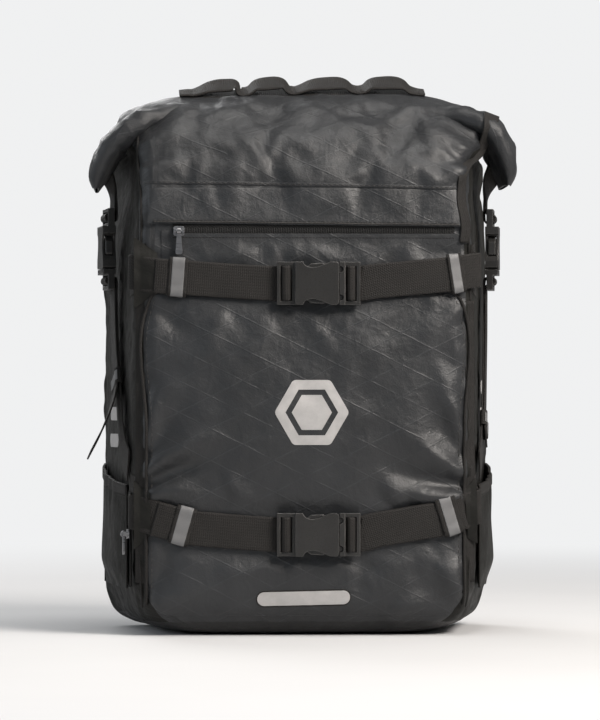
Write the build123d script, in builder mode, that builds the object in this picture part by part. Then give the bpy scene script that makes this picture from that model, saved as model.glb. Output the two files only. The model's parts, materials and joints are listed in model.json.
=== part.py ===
from build123d import *

import os
from math import atan2, cos, degrees, hypot, sin

os.makedirs("parts", exist_ok=True)

# A roll-top bicycle pannier, in millimetres. +Z is up, +Y points at the bicycle, +X to the right
# as the bag is seen from outside. The origin is on the axis of the rack tube, midway between the
# two hooks that hang on it.

# ---- driving dimensions ----------------------------------------------------------------------
bag_bottom = -300.0  # the underside of the base below the rack tube
back_y = -24.0  # outer face of the back panel
bag_depth = 163.0
front_y = back_y - bag_depth
back_half_width = 146.0
front_half_width = 124.0
wall = 2.5  # laminate with its lining
corner_radius = 8.0
shoulder_height = 318.0  # where the front starts to lean back to the roll
mouth_height = 350.0
roll_top_height = 397.0
roll_y = -116.0  # middle of the roll
ply = 0.3  # gap between layers of fabric and webbing

webbing_width = 25.0
webbing_thickness = 1.6
pocket_thickness = 6.0
pocket_half_width = 115.0
pocket_top = 250.0
pocket_bottom = 14.0
pocket_corner = 14.0

upper_strap_height = 254.0
lower_strap_height = 73.0
strap_end_x = 122.0
front_buckle_x = 9.0
side_buckle_height = 282.0
side_buckle_inset = 82.0  # from the back edge along the side panel

tube_radius = 8.0  # the rack tube that the hooks take
hook_spacing = 150.0
hook_width = 24.0
upper_rail_z = -19.0
lower_rail_z = -226.0


def up(height):
    """The z of a height above the bag's underside."""
    return bag_bottom + height


# ---- reference planes ------------------------------------------------------------------------
front = Plane.XZ.offset(-front_y)  # x to the right, y up, facing outwards
back = Plane(origin=(0, back_y, 0), x_dir=(-1, 0, 0), z_dir=(0, 1, 0))
side_lean = atan2(back_half_width - front_half_width, bag_depth)
left_side = Plane(
    origin=(-back_half_width, back_y, 0),
    x_dir=(sin(side_lean), -cos(side_lean), 0),
    z_dir=(-cos(side_lean), -sin(side_lean), 0),
)  # x from the back edge to the front edge, y up, facing outwards
side_length = hypot(bag_depth, back_half_width - front_half_width)


def save(piece, label):
    """Names a finished piece and writes it."""
    piece.part.label = label
    export_step(piece.part, f"parts/{label}.step")
    return piece


def plate(plane, near, far, corners, label, radius=0.0):
    """A flat piece with a polygon outline, from near to far in front of a plane."""
    with BuildPart() as piece:
        with BuildSketch(plane.offset(near)) as outline:
            with BuildLine():
                Polyline(*corners, close=True)
            make_face()
            if radius:
                fillet(outline.vertices(), radius)
        extrude(amount=far - near)
    return save(piece, label)


def right_hand_twin(piece, label):
    """The same piece on the other side of the bag."""
    with BuildPart() as twin:
        mirror(piece.part, about=Plane.YZ)
    return save(twin, label)


# ---- main shell ------------------------------------------------------------------------------
# Plan sections from the base up: height, half-width at the back and front, front y, back y.
shell_sections = (
    (3.0, back_half_width - 16, front_half_width - 18, front_y + 12, back_y),
    (12.0, back_half_width - 5, front_half_width - 6, front_y + 3, back_y),
    (30.0, back_half_width, front_half_width, front_y, back_y),
    (shoulder_height, back_half_width, front_half_width, front_y, back_y),
    (mouth_height, back_half_width - 6, front_half_width + 4, roll_y - 44, roll_y + 42),
)
# The inside stands a wall above each of the base's sections, a wall below the shoulder, where the
# sides start to lean in, and runs out through the mouth.
inner_rises = (wall, wall, wall, -wall, 1.0)


def plan_face(height, back_half, front_half, near_y, far_y, inset):
    """A rounded trapezium seen from above."""
    with BuildSketch(Plane.XY.offset(up(height)), mode=Mode.PRIVATE) as section:
        with BuildLine():
            Polyline(
                (-back_half + inset, far_y - inset),
                (back_half - inset, far_y - inset),
                (front_half - inset, near_y + inset),
                (-front_half + inset, near_y + inset),
                close=True,
            )
        make_face()
        fillet(section.vertices(), corner_radius - inset)
    return section.sketch


outer_faces = [plan_face(*section, 0.0) for section in shell_sections]
inner_faces = [
    plan_face(height + rise, *rest, wall)
    for rise, (height, *rest) in zip(inner_rises, shell_sections)
]
screw_radius = 2.5
screw_clearance = 0.1
upper_screw_places = [(x, upper_rail_z) for x in (-122.0, -15.0, 15.0, 122.0)]
lower_screw_places = [(x, lower_rail_z) for x in (-52.0, 52.0)]
screw_places = upper_screw_places + lower_screw_places
board_thickness = 3.0

with BuildPart() as main_shell:
    for lower, upper in zip(outer_faces, outer_faces[1:]):
        loft(sections=[lower, upper], ruled=True)
    for lower, upper in zip(inner_faces, inner_faces[1:]):
        loft(sections=[lower, upper], ruled=True, mode=Mode.SUBTRACT)
    with BuildSketch(back.offset(1)):
        with Locations(*screw_places):
            Circle(screw_radius + screw_clearance)
    extrude(amount=-wall - 2, mode=Mode.SUBTRACT)
save(main_shell, "main_shell")

with BuildPart() as base_panel:
    with BuildSketch(Plane.XY.offset(bag_bottom)):
        add(plan_face(0.0, *shell_sections[0][1:], 1.0))
    extrude(amount=shell_sections[0][0] - ply)
save(base_panel, "base_panel")

board_half_width = 126.0
board_height = 290.0
board_middle = 161.0
board_corner = 20.0
with BuildPart() as backboard:
    with BuildSketch(back.offset(-wall - ply)):
        with Locations((0, up(board_middle))):
            RectangleRounded(2 * board_half_width, board_height, board_corner)
        with Locations(*screw_places):
            Circle(screw_radius + screw_clearance, mode=Mode.SUBTRACT)
    extrude(amount=-board_thickness)
save(backboard, "backboard")

# ---- front pocket, zip and flap --------------------------------------------------------------
pocket_face = ply + pocket_thickness  # its outer face in front of the shell
with BuildPart() as front_pocket:
    with BuildSketch(front.offset(ply)):
        with Locations((0, up((pocket_top + pocket_bottom) / 2))):
            RectangleRounded(2 * pocket_half_width, pocket_top - pocket_bottom, pocket_corner)
    extrude(amount=pocket_thickness)
save(front_pocket, "front_pocket")

zip_height = 292.0
zip_left = -96.0
zip_right = 108.0
tape_half = 5.0
tape_thickness = 0.9
flap_bottom = zip_height + 5.5
flap_height = 9.0
flap_stand_off = 4.0
flap_overlap = 4.0  # past each end of the tape


def box_corners(x_low, x_high, y_low, y_high):
    """The four corners of an upright rectangle."""
    return (x_low, y_low), (x_high, y_low), (x_high, y_high), (x_low, y_high)


tape_face = ply + tape_thickness
plate(
    front,
    ply,
    tape_face,
    box_corners(zip_left, zip_right, up(zip_height - tape_half), up(zip_height + tape_half)),
    "zip_tape",
)
plate(
    front,
    ply,
    flap_stand_off,
    box_corners(
        zip_left - flap_overlap,
        zip_right + flap_overlap,
        up(flap_bottom),
        up(flap_bottom + flap_height),
    ),
    "zip_flap",
)

slider_length = 8.0
slider_height = 3.4
pull_bar_radius = 0.9
pull_bar_gap = 0.05
pull_eye_radius = 2.3
tab_neck_half = 1.5
tab_end_half = 2.6
tab_thickness = 1.4
tab_corner = 1.4
front_pull_length = 17.0
side_pull_length = 15.0
slider_inset = 4.5  # of the closed front slider from the tape's end


def zip_slider(plane, label):
    """A zip slider on the tape: a body with two lugs that hold a cross bar. The bar lies on the
    plane's x axis."""
    base = tape_face + ply
    with BuildPart() as slider:
        with BuildSketch(plane.offset(base)):
            RectangleRounded(slider_length, 7.0, 1.6)
        extrude(amount=slider_height - 1.4)
        with BuildSketch(plane.offset(base)):
            with GridLocations(slider_length - 2, 0, 2, 1):
                Rectangle(1.6, 3.0)
        extrude(amount=slider_height + 2.2)
        bar_plane = Plane(
            origin=plane.from_local_coords((-slider_length / 2 + 0.2, 0, bar_height)),
            x_dir=plane.y_dir,
            z_dir=plane.x_dir,
        )
        with BuildSketch(bar_plane):
            Circle(pull_bar_radius)
        extrude(amount=slider_length - 0.4)
    return save(slider, label)


bar_height = tape_face + ply + slider_height + 1.0


def zip_pull(plane, label, length):
    """A pull that hangs from a slider's bar, with a tapered tab."""
    with BuildPart() as pull:
        eye_plane = Plane(
            origin=plane.from_local_coords((-tab_neck_half, 0, bar_height)),
            x_dir=plane.y_dir,
            z_dir=plane.x_dir,
        )
        with BuildSketch(plane.offset(bar_height - tab_thickness / 2)):
            with BuildLine():
                Polyline(
                    (-tab_neck_half, -1.0),
                    (tab_neck_half, -1.0),
                    (tab_end_half, -length),
                    (-tab_end_half, -length),
                    close=True,
                )
            make_face()
        extrude(amount=tab_thickness)
        upright_edges = pull.edges().filter_by(Axis(plane.origin, plane.z_dir))
        fillet(upright_edges.sort_by(Axis(plane.origin, plane.y_dir))[:2], tab_corner)
        with BuildSketch(eye_plane):
            Circle(pull_eye_radius)
        extrude(amount=2 * tab_neck_half)
        with BuildSketch(eye_plane):
            Circle(pull_bar_radius + pull_bar_gap)
        extrude(amount=2 * tab_neck_half, mode=Mode.SUBTRACT)
    return save(pull, label)


front_zip_plane = Plane(
    origin=front.from_local_coords((zip_left + slider_inset, up(zip_height), 0)),
    x_dir=front.x_dir,
    z_dir=front.z_dir,
)
zip_slider(front_zip_plane, "zip_slider")
zip_pull(front_zip_plane, "zip_pull", front_pull_length)

side_zip_inset = 154.0
side_zip_bottom = 38.0
side_zip_top = 78.0
plate(
    left_side,
    ply,
    tape_face,
    box_corners(side_zip_inset - 5, side_zip_inset + 5, up(side_zip_bottom), up(side_zip_top)),
    "side_zip_tape",
)
side_zip_plane = Plane(
    origin=left_side.from_local_coords((side_zip_inset, up(side_zip_top - 5.0), 0)),
    x_dir=left_side.x_dir,
    z_dir=left_side.z_dir,
)
zip_slider(side_zip_plane, "side_zip_slider")
zip_pull(side_zip_plane, "side_zip_pull", side_pull_length)

# ---- front straps ----------------------------------------------------------------------------
strap_near = pocket_face + ply
strap_far = strap_near + webbing_thickness
buckle_back = strap_far + ply


def front_strap(inner_x, side, height, label):
    """A length of webbing over the front pocket, turned back to the shell at its outer end.
    side is -1 on the left and 1 on the right."""
    outer_x = side * strap_end_x
    turned_x = outer_x - side * webbing_thickness
    with BuildPart() as strap:
        with BuildSketch(Plane.XY.offset(up(height) - webbing_width / 2)):
            with BuildLine():
                Polyline(
                    (inner_x, front_y - strap_near),
                    (inner_x, front_y - strap_far),
                    (outer_x, front_y - strap_far),
                    (outer_x, front_y - 2 * ply),
                    (turned_x, front_y - 2 * ply),
                    (turned_x, front_y - strap_near),
                    close=True,
                )
            make_face()
        extrude(amount=webbing_width)
    return save(strap, label)


socket_frame_end = 18.0  # how far the webbing runs under each end of a buckle, from its middle
for level, height in (("upper", upper_strap_height), ("lower", lower_strap_height)):
    front_strap(front_buckle_x - socket_frame_end, -1, height, f"{level}_strap_left")
    front_strap(front_buckle_x + socket_frame_end, 1, height, f"{level}_strap_right")

# ---- side-release buckles --------------------------------------------------------------------
# Each is drawn on a plane whose x axis is the way the plug leaves and whose z axis faces outwards.
buckle_half_length = 30.0
buckle_half_width = 15.5
buckle_thickness = 10.0
buckle_skin = 1.8
mouth_x = 14.5
frame_low = 1.0
frame_high = 6.0
slot_half = 12.8
slot_width = 2.8
arm_pivot_x = 15.4
arm_pivot_y = 10.2
arm_root_radius = 2.2
arm_gap = 0.05
arm_low = buckle_skin + 0.4
arm_high = buckle_thickness - buckle_skin - 0.4
window_low = -10.0
window_high = 5.0


def buckle_socket(plane, label):
    """The half that the arms snap into: a flat hollow body, waisted so that fingers reach the
    arms, with a two-slot frame for the webbing."""
    body_end = -17.0
    with BuildPart() as socket:
        with BuildSketch(plane):
            with BuildLine() as outline:
                Line((mouth_x, 0), (mouth_x, buckle_half_width - 1.5))
                Line((mouth_x, buckle_half_width - 1.5), (mouth_x - 1.5, buckle_half_width))
                Line((mouth_x - 1.5, buckle_half_width), (8.5, buckle_half_width))
                Spline((8.5, 15.5), (2.0, 12.9), (-4.5, 11.4), (-9.0, 12.4), (-11.5, 15.5))
                Line((-11.5, 15.5), (body_end, 15.5))
                Line((body_end, 15.5), (body_end, 0))
                mirror(about=Plane.XZ)
            make_face()
        extrude(amount=buckle_thickness)
        with BuildSketch(plane.offset(frame_low)):
            with Locations(((-buckle_half_length + body_end) / 2, 0)):
                Rectangle(buckle_half_length + body_end, 2 * buckle_half_width)
        extrude(amount=frame_high - frame_low)
        with BuildSketch(plane.offset(frame_low)):
            with Locations((-26.2, 0), (-20.4, 0)):
                Rectangle(slot_width, 2 * slot_half)
        extrude(amount=frame_high - frame_low, mode=Mode.SUBTRACT)
        with BuildSketch(plane.offset(buckle_skin)):
            with Locations(((mouth_x - 12.0) / 2, 0)):
                Rectangle(mouth_x + 12.0, 26.0)
            with Locations(((window_low + window_high) / 2, 0)):
                Rectangle(window_high - window_low, 2 * buckle_half_width)
        extrude(amount=buckle_thickness - 2 * buckle_skin, mode=Mode.SUBTRACT)
    return save(socket, label)


def buckle_plug(plane, label):
    """The half that slides out: a webbing frame, a collar and a middle guide tongue."""
    collar_low = mouth_x + 0.4
    collar_high = 18.8
    with BuildPart() as plug:
        with BuildSketch(plane.offset(0.3)):
            with Locations(((collar_low + collar_high) / 2, 0)):
                Rectangle(collar_high - collar_low, 2 * buckle_half_width)
        extrude(amount=buckle_thickness - 0.6)
        with BuildSketch(plane.offset(frame_low)):
            with Locations(((collar_high + buckle_half_length) / 2, 0)):
                Rectangle(buckle_half_length - collar_high, 2 * buckle_half_width)
            with Locations((20.8, 0), (25.9, 0)):
                Rectangle(slot_width, 2 * slot_half, mode=Mode.SUBTRACT)
        extrude(amount=frame_high - frame_low)
        with BuildSketch(plane.offset(buckle_skin + 0.8)):
            with Locations(((collar_low - 7.0) / 2, 0)):
                Rectangle(collar_low + 7.0, 5.2)
        extrude(amount=buckle_thickness - 2 * buckle_skin - 1.6)
        with BuildSketch(plane):
            with Locations((arm_pivot_x, arm_pivot_y), (arm_pivot_x, -arm_pivot_y)):
                Circle(arm_root_radius + arm_gap)
        extrude(amount=buckle_thickness, mode=Mode.SUBTRACT)
    return save(plug, label)


def buckle_arm(plane, hand, label):
    """A sprung arm with a shoulder that catches the socket's window, and a round root.
    hand is 1 for the arm on the plane's +y side and -1 for the other."""
    with BuildPart() as arm:
        with BuildSketch(plane.offset(arm_low)):
            with BuildLine():
                Polyline(
                    (arm_pivot_x, hand * (arm_pivot_y + arm_root_radius)),
                    (window_high - 0.5, hand * (arm_pivot_y + arm_root_radius)),
                    (window_high - 0.9, hand * 14.2),
                    (window_high - 2.2, hand * 14.8),
                    (-5.5, hand * 14.3),
                    (-9.2, hand * 11.6),
                    (-9.2, hand * 9.9),
                    (-6.0, hand * 8.6),
                    (arm_pivot_x, hand * (arm_pivot_y - arm_root_radius)),
                    close=True,
                )
            make_face()
            with Locations((arm_pivot_x, hand * arm_pivot_y)):
                Circle(arm_root_radius)
        extrude(amount=arm_high - arm_low)
    return save(arm, label)


def buckle(plane, name, first_arm, second_arm):
    """All four pieces of one buckle."""
    buckle_socket(plane, f"{name}_socket")
    buckle_plug(plane, f"{name}_plug")
    buckle_arm(plane, 1, f"{name}_{first_arm}")
    buckle_arm(plane, -1, f"{name}_{second_arm}")


for level, height in (("upper", upper_strap_height), ("lower", lower_strap_height)):
    spot = front.from_local_coords((front_buckle_x, up(height), buckle_back))
    front_plane = Plane(origin=spot, x_dir=front.x_dir, z_dir=front.z_dir)
    buckle(front_plane, f"{level}_buckle", "top_arm", "bottom_arm")

side_strap_near = 2.0
side_strap_far = side_strap_near + webbing_thickness
side_buckle_back = side_strap_far + ply
left_spot = left_side.from_local_coords((side_buckle_inset, up(side_buckle_height), side_buckle_back))
left_normal = left_side.z_dir
left_plane = Plane(origin=left_spot, x_dir=(0, 0, -1), z_dir=left_normal)
buckle(left_plane, "left_buckle", "front_arm", "back_arm")
right_plane = Plane(
    origin=(-left_spot.X, left_spot.Y, left_spot.Z),
    x_dir=(0, 0, -1),
    z_dir=(-left_normal.X, left_normal.Y, 0),
)
buckle(right_plane, "right_buckle", "back_arm", "front_arm")

# ---- side panels: pockets, straps, anchors ---------------------------------------------------
side_pocket_back = 16.0  # inset of its back edge along the panel
side_pocket_front = 134.0
side_pocket_foot = 34.0
side_pocket_back_top = 120.0
side_pocket_front_top = 106.0
side_pocket_bulge = 9.0
side_pocket_left = plate(
    left_side,
    2 * ply,
    side_pocket_bulge,
    (
        (side_pocket_back, up(side_pocket_foot)),
        (side_pocket_front, up(side_pocket_foot)),
        (side_pocket_front, up(side_pocket_front_top)),
        (side_pocket_back, up(side_pocket_back_top)),
    ),
    "side_pocket_left",
    radius=6.0,
)
right_hand_twin(side_pocket_left, "side_pocket_right")

strap_foot_inset = 120.0
strap_foot_height = 142.0
strap_head_height = 264.0
strap_upright = 12.0  # how far the webbing runs straight down from the buckle
strap_slant = atan2(
    strap_foot_inset - side_buckle_inset,
    strap_head_height - strap_foot_height - strap_upright,
)
half_web = webbing_width / 2
side_strap_left = plate(
    left_side,
    side_strap_near,
    side_strap_far,
    (
        (side_buckle_inset - half_web, up(strap_head_height)),
        (side_buckle_inset + half_web, up(strap_head_height)),
        (side_buckle_inset + half_web, up(strap_head_height - strap_upright)),
        (strap_foot_inset + half_web, up(strap_foot_height)),
        (strap_foot_inset - half_web, up(strap_foot_height)),
        (side_buckle_inset - half_web, up(strap_head_height - strap_upright)),
    ),
    "side_strap_left",
)
right_hand_twin(side_strap_left, "side_strap_right")

# Reflective keepers: bands over the straps, two on each front strap and one on each side strap.
keeper_thickness = 0.8
keeper_height = webbing_width + 2
keeper_drop = 70.0  # below the head of the side strap
side_keeper_width = 10.0
front_keepers = (
    (upper_strap_height, 12.0, (-92.0, 108.5)),
    (lower_strap_height, 14.0, (-91.0, 103.0)),
)  # height, width, and the middle of each
with BuildPart() as strap_keepers:
    with BuildSketch(front.offset(strap_far + ply)):
        for strap_height, keeper_width, middles in front_keepers:
            with Locations(*[(middle, up(strap_height)) for middle in middles]):
                Rectangle(keeper_width, keeper_height)
    extrude(amount=keeper_thickness)
    slanted_drop = keeper_drop - strap_upright
    keeper_inset = side_buckle_inset + slanted_drop * sin(strap_slant) / cos(strap_slant)
    keeper_spot = left_side.from_local_coords(
        (keeper_inset, up(strap_head_height - keeper_drop), side_strap_far + ply)
    )
    for hand in (-1, 1):
        keeper_plane = Plane(
            origin=(-hand * keeper_spot.X, keeper_spot.Y, keeper_spot.Z),
            x_dir=(-hand * left_side.x_dir.X, left_side.x_dir.Y, 0),
            z_dir=(-hand * left_normal.X, left_normal.Y, 0),
        )
        with BuildSketch(keeper_plane):
            Rectangle(keeper_height, side_keeper_width, rotation=-hand * degrees(strap_slant))
        extrude(amount=keeper_thickness)
save(strap_keepers, "strap_keepers")

# Webbing wings sewn to the side panels where the front straps come round.
sewn_thickness = 1.5
anchor_width = 20.0
anchor_setback = 14.0  # middle, from the panel's front edge
anchor_spans = ((86.0, 114.0), (245.0, 292.0))
with BuildPart() as strap_anchors:
    with BuildSketch(left_side.offset(ply)):
        for anchor_bottom, anchor_top in anchor_spans:
            with Locations((side_length - anchor_setback, up((anchor_bottom + anchor_top) / 2))):
                Rectangle(anchor_width, anchor_top - anchor_bottom)
    extrude(amount=sewn_thickness)
    mirror(about=Plane.YZ)
save(strap_anchors, "strap_anchors")

binding_middle = front_half_width - 5.0
binding_width = 5.0
binding_length = 146.0
binding_height = 163.0
with BuildPart() as edge_bindings:
    with BuildSketch(front.offset(ply)):
        with Locations((-binding_middle, up(binding_height)), (binding_middle, up(binding_height))):
            Rectangle(binding_width, binding_length)
    extrude(amount=sewn_thickness)
save(edge_bindings, "edge_bindings")

# ---- marks and label, all plain shapes -------------------------------------------------------
mark_thickness = 0.4
mark_middle = (4.0, up(161.0))
mark_radius = 27.0
mark_corner = 4.0
mark_hole_radius = 19.0
mark_core_radius = 14.5
with BuildPart() as front_mark:
    with BuildSketch(front.offset(pocket_face + ply)) as hexagon:
        with Locations(mark_middle):
            RegularPolygon(radius=mark_radius, side_count=6)
        fillet(hexagon.vertices(), mark_corner)
        with Locations(mark_middle):
            RegularPolygon(radius=mark_hole_radius, side_count=6, mode=Mode.SUBTRACT)
            RegularPolygon(radius=mark_core_radius, side_count=6)
    extrude(amount=mark_thickness)
save(front_mark, "front_mark")

bar_inset = 58.0
bar_spots = ((140.0, 44.0), (160.0, 36.0), (180.0, 28.0))  # height and length of each bar
bar_width = 10.0
with BuildPart() as side_marks:
    with BuildSketch(left_side.offset(ply)):
        for height, length in bar_spots:
            with Locations((bar_inset, up(height))):
                SlotOverall(length, bar_width)
    extrude(amount=mark_thickness)
    mirror(about=Plane.YZ)
save(side_marks, "side_marks")

label_middle = (-1.5, up(27.0))
label_length = 67.0
label_width = 10.0
label_thickness = 0.6
with BuildPart() as front_label:
    with BuildSketch(front.offset(pocket_face + ply)):
        with Locations(label_middle):
            SlotOverall(label_length, label_width)
    extrude(amount=label_thickness)
save(front_label, "front_label")

# ---- rolled closure --------------------------------------------------------------------------
roll_half_length = 138.0
droop_reach = 22.0
stiffener_height = 24.0
stiffener_middle = 372.0
stiffener_slot = 3.0
stiffener_thickness = 1.5
roll_bottom = up(mouth_height + 1)
roll_front = roll_y - 43.0
roll_back = roll_y + 41.0
brow_front = (roll_y - 26.0, up(380.0))
brow_back = (roll_y + 24.0, up(382.0))
droop_corner = 10.0
with BuildPart() as roll_top:
    with BuildSketch(Plane.YZ.offset(-roll_half_length)):
        with BuildLine():
            Line((roll_front, roll_bottom), (roll_back, roll_bottom))
            Line((roll_back, roll_bottom), brow_back)
            ThreePointArc(brow_back, (roll_y, up(roll_top_height)), brow_front)
            Line(brow_front, (roll_front, roll_bottom))
        make_face()
    extrude(amount=2 * roll_half_length)
    for hand in (-1, 1):
        root_plane = Plane.YZ.offset(hand * (roll_half_length - 1))
        with BuildSketch(root_plane, mode=Mode.PRIVATE) as droop_root:
            with Locations((roll_y, up(370))):
                RectangleRounded(44, 30, droop_corner)
        droop_plane = Plane.YZ.offset(hand * (roll_half_length + droop_reach))
        with BuildSketch(droop_plane, mode=Mode.PRIVATE) as droop_end:
            with Locations((roll_y, up(354))):
                RectangleRounded(34, 40, droop_corner)
        loft(sections=[droop_root.sketch, droop_end.sketch][::hand], ruled=True)
    with BuildSketch(Plane.YZ.offset(-roll_half_length + 4)):
        with Locations((roll_y, up(stiffener_middle))):
            Rectangle(stiffener_slot, stiffener_height + 2)
    extrude(amount=2 * roll_half_length - 8, mode=Mode.SUBTRACT)
save(roll_top, "roll_top")

with BuildPart() as lip_stiffener:
    with BuildSketch(Plane.YZ.offset(-roll_half_length + 5)):
        with Locations((roll_y, up(stiffener_middle))):
            Rectangle(stiffener_thickness, stiffener_height)
    extrude(amount=2 * roll_half_length - 10)
save(lip_stiffener, "lip_stiffener")

chain_left = -90.0
chain_right = 93.0
chain_base = up(roll_top_height + ply)
loop_feet = (-80, -42, -5, 43, 86)
loop_peak = 9.0
chain_thickness = 1.4
foot_width = 3.0
with BuildPart() as daisy_chain:
    with BuildSketch(Plane.XZ.offset(-roll_y - half_web)):
        with BuildLine():
            chain_strip = box_corners(chain_left, chain_right, chain_base, chain_base + chain_thickness)
            Polyline(*chain_strip, close=True)
        make_face()
    extrude(amount=webbing_width)
    for start, end in zip(loop_feet, loop_feet[1:]):
        middle = (start + end) / 2
        low = chain_base + 0.5
        under_low = chain_base + chain_thickness
        under_peak = chain_base + loop_peak - chain_thickness
        with BuildSketch(Plane.XZ.offset(-roll_y - half_web)):
            with BuildLine():
                ThreePointArc((start, low), (middle, chain_base + loop_peak), (end, low))
                Line((end, low), (start, low))
            make_face()
            with BuildLine(mode=Mode.PRIVATE) as under_loop:
                under_start = (start + foot_width, under_low)
                under_end = (end - foot_width, under_low)
                ThreePointArc(under_start, (middle, under_peak), under_end)
                Line(under_end, under_start)
            make_face(under_loop.edges(), mode=Mode.SUBTRACT)
        extrude(amount=webbing_width)
save(daisy_chain, "daisy_chain")

with BuildPart() as roll_end_tabs:
    with BuildSketch(left_side.offset(side_strap_near)):
        with Locations((side_buckle_inset, up(316.5))):
            Rectangle(webbing_width, 35)
    extrude(amount=webbing_thickness)
    mirror(about=Plane.YZ)
save(roll_end_tabs, "roll_end_tabs")

# ---- rails on the back -----------------------------------------------------------------------
rail_gap = 0.3
rail_floor = back_y + rail_gap
rail_face = rail_floor + 8.7
rail_half_height = 15.0
web_thickness = 3.0  # the rail's back wall, and its top and bottom walls
lip_thickness = 2.5
throat_half = 7.0


def rail(middle_z, half_length, screw_xs, label):
    """A C-section rail lying along X, open towards the bicycle."""
    with BuildPart() as section:
        with BuildSketch(Plane.YZ.offset(-half_length)):
            with BuildLine():
                Polyline(
                    (rail_floor, middle_z - rail_half_height),
                    (rail_face, middle_z - rail_half_height),
                    (rail_face, middle_z + rail_half_height),
                    (rail_floor, middle_z + rail_half_height),
                    close=True,
                )
            make_face()
            with Locations(((rail_floor + web_thickness + rail_face - lip_thickness) / 2, middle_z)):
                Rectangle(
                    rail_face - rail_floor - web_thickness - lip_thickness,
                    2 * (rail_half_height - web_thickness),
                    mode=Mode.SUBTRACT,
                )
            with Locations((rail_face, middle_z)):
                Rectangle(2 * lip_thickness + 0.2, 2 * throat_half, mode=Mode.SUBTRACT)
        extrude(amount=2 * half_length)
        with BuildSketch(back):
            with Locations(*[(x, middle_z) for x in screw_xs]):
                Circle(screw_radius + screw_clearance)
        extrude(amount=6.0, mode=Mode.SUBTRACT)
    return save(section, label)


rail(upper_rail_z, 132.0, [x for x, _ in upper_screw_places], "upper_rail")
rail(lower_rail_z, 60.0, [x for x, _ in lower_screw_places], "lower_rail")

head_radius = 4.6
head_height = 2.0
nut_height = 4.0
nut_face = back_y - wall - ply - board_thickness  # inner face of the backboard
with BuildPart() as rail_screws:
    head_seat = rail_gap + web_thickness
    with BuildSketch(back.offset(head_seat)):
        with Locations(*screw_places):
            Circle(head_radius)
    extrude(amount=head_height)
    with BuildSketch(back.offset(head_seat)):
        with Locations(*screw_places):
            Circle(screw_radius)
    extrude(amount=nut_face - nut_height - 1.0 - back_y - head_seat)
    with BuildSketch(back.offset(head_seat + head_height)):
        with Locations(*screw_places):
            RegularPolygon(radius=2.0, side_count=6)
    extrude(amount=-1.2, mode=Mode.SUBTRACT)
save(rail_screws, "rail_screws")

with BuildPart() as screw_nuts:
    with BuildSketch(back.offset(nut_face - back_y)):
        with Locations(*screw_places):
            RegularPolygon(radius=4.6, side_count=6)
            Circle(screw_radius + 0.02, mode=Mode.SUBTRACT)
    extrude(amount=-nut_height)
save(screw_nuts, "screw_nuts")

# ---- hooks, latches and release handle -------------------------------------------------------
hook_wall = 4.5
hook_back = rail_face + 0.3
foot_gap = 0.4
latch_pivot_y = -11.2
latch_pivot_z = -28.0
latch_width = 9.0
latch_slot = 10.0
pin_radius = 2.0
pin_gap = 0.05


def t_foot(middle_z):
    """Sketches the foot that slides in a rail, and its neck."""
    foot_near = rail_face - lip_thickness - foot_gap
    foot_far = rail_floor + web_thickness + foot_gap
    with Locations(((foot_near + foot_far) / 2, middle_z)):
        Rectangle(foot_near - foot_far, 2 * (rail_half_height - web_thickness - foot_gap))
    with Locations(((foot_near + hook_back) / 2, middle_z)):
        Rectangle(hook_back - foot_near, 2 * (throat_half - foot_gap))


def rack_hook(middle_x, label):
    """A hook that drops over the rack tube, on a foot that slides in the upper rail."""
    outer = tube_radius + hook_wall
    with BuildPart() as hook:
        with BuildSketch(Plane.YZ.offset(middle_x - hook_width / 2)):
            Circle(outer)
            with Locations(((hook_back - tube_radius) / 2, -15.0)):
                Rectangle(-tube_radius - hook_back, 42.0)
            with Locations((tube_radius + hook_wall / 2, -4.0)):
                Rectangle(hook_wall, 8.0)
            with Locations((0, -outer)):
                Rectangle(2 * tube_radius, 2 * outer, mode=Mode.SUBTRACT)
            Circle(tube_radius, mode=Mode.SUBTRACT)
            t_foot(upper_rail_z)
        extrude(amount=hook_width)
        with BuildSketch(Plane.YZ.offset(middle_x - latch_slot / 2)):
            with Locations(((hook_back - tube_radius) / 2, -18.0)):
                Rectangle(-tube_radius - hook_back + 0.1, 34.0)
        extrude(amount=latch_slot, mode=Mode.SUBTRACT)
        with BuildSketch(Plane.YZ.offset(middle_x - hook_width / 2)):
            with Locations((latch_pivot_y, latch_pivot_z)):
                Circle(pin_radius + pin_gap)
        extrude(amount=hook_width, mode=Mode.SUBTRACT)
    return save(hook, label)


def latch(middle_x, label):
    """The finger that closes under the tube."""
    tip = (1.6, -10.3)
    reach = hypot(tip[0] - latch_pivot_y, tip[1] - latch_pivot_z)
    angle = degrees(atan2(tip[1] - latch_pivot_z, tip[0] - latch_pivot_y))
    with BuildPart() as finger:
        with BuildSketch(Plane.YZ.offset(middle_x - latch_width / 2)):
            with Locations(Location((latch_pivot_y, latch_pivot_z), angle)):
                with Locations((reach / 2, 0)):
                    SlotCenterToCenter(reach, 4.2)
            with Locations((latch_pivot_y, latch_pivot_z)):
                Circle(2.9)
                Circle(pin_radius + pin_gap, mode=Mode.SUBTRACT)
        extrude(amount=latch_width)
    return save(finger, label)


def latch_pin(middle_x, label):
    """The steel pin through the hook and its latch."""
    with BuildPart() as pin:
        with BuildSketch(Plane.YZ.offset(middle_x - hook_width / 2 + 0.3)):
            with Locations((latch_pivot_y, latch_pivot_z)):
                Circle(pin_radius)
        extrude(amount=hook_width - 0.6)
    return save(pin, label)


for hand, middle_x in (("left", -hook_spacing / 2), ("right", hook_spacing / 2)):
    rack_hook(middle_x, f"hook_{hand}")
    latch(middle_x, f"latch_{hand}")
    latch_pin(middle_x, f"latch_pin_{hand}")

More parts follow.
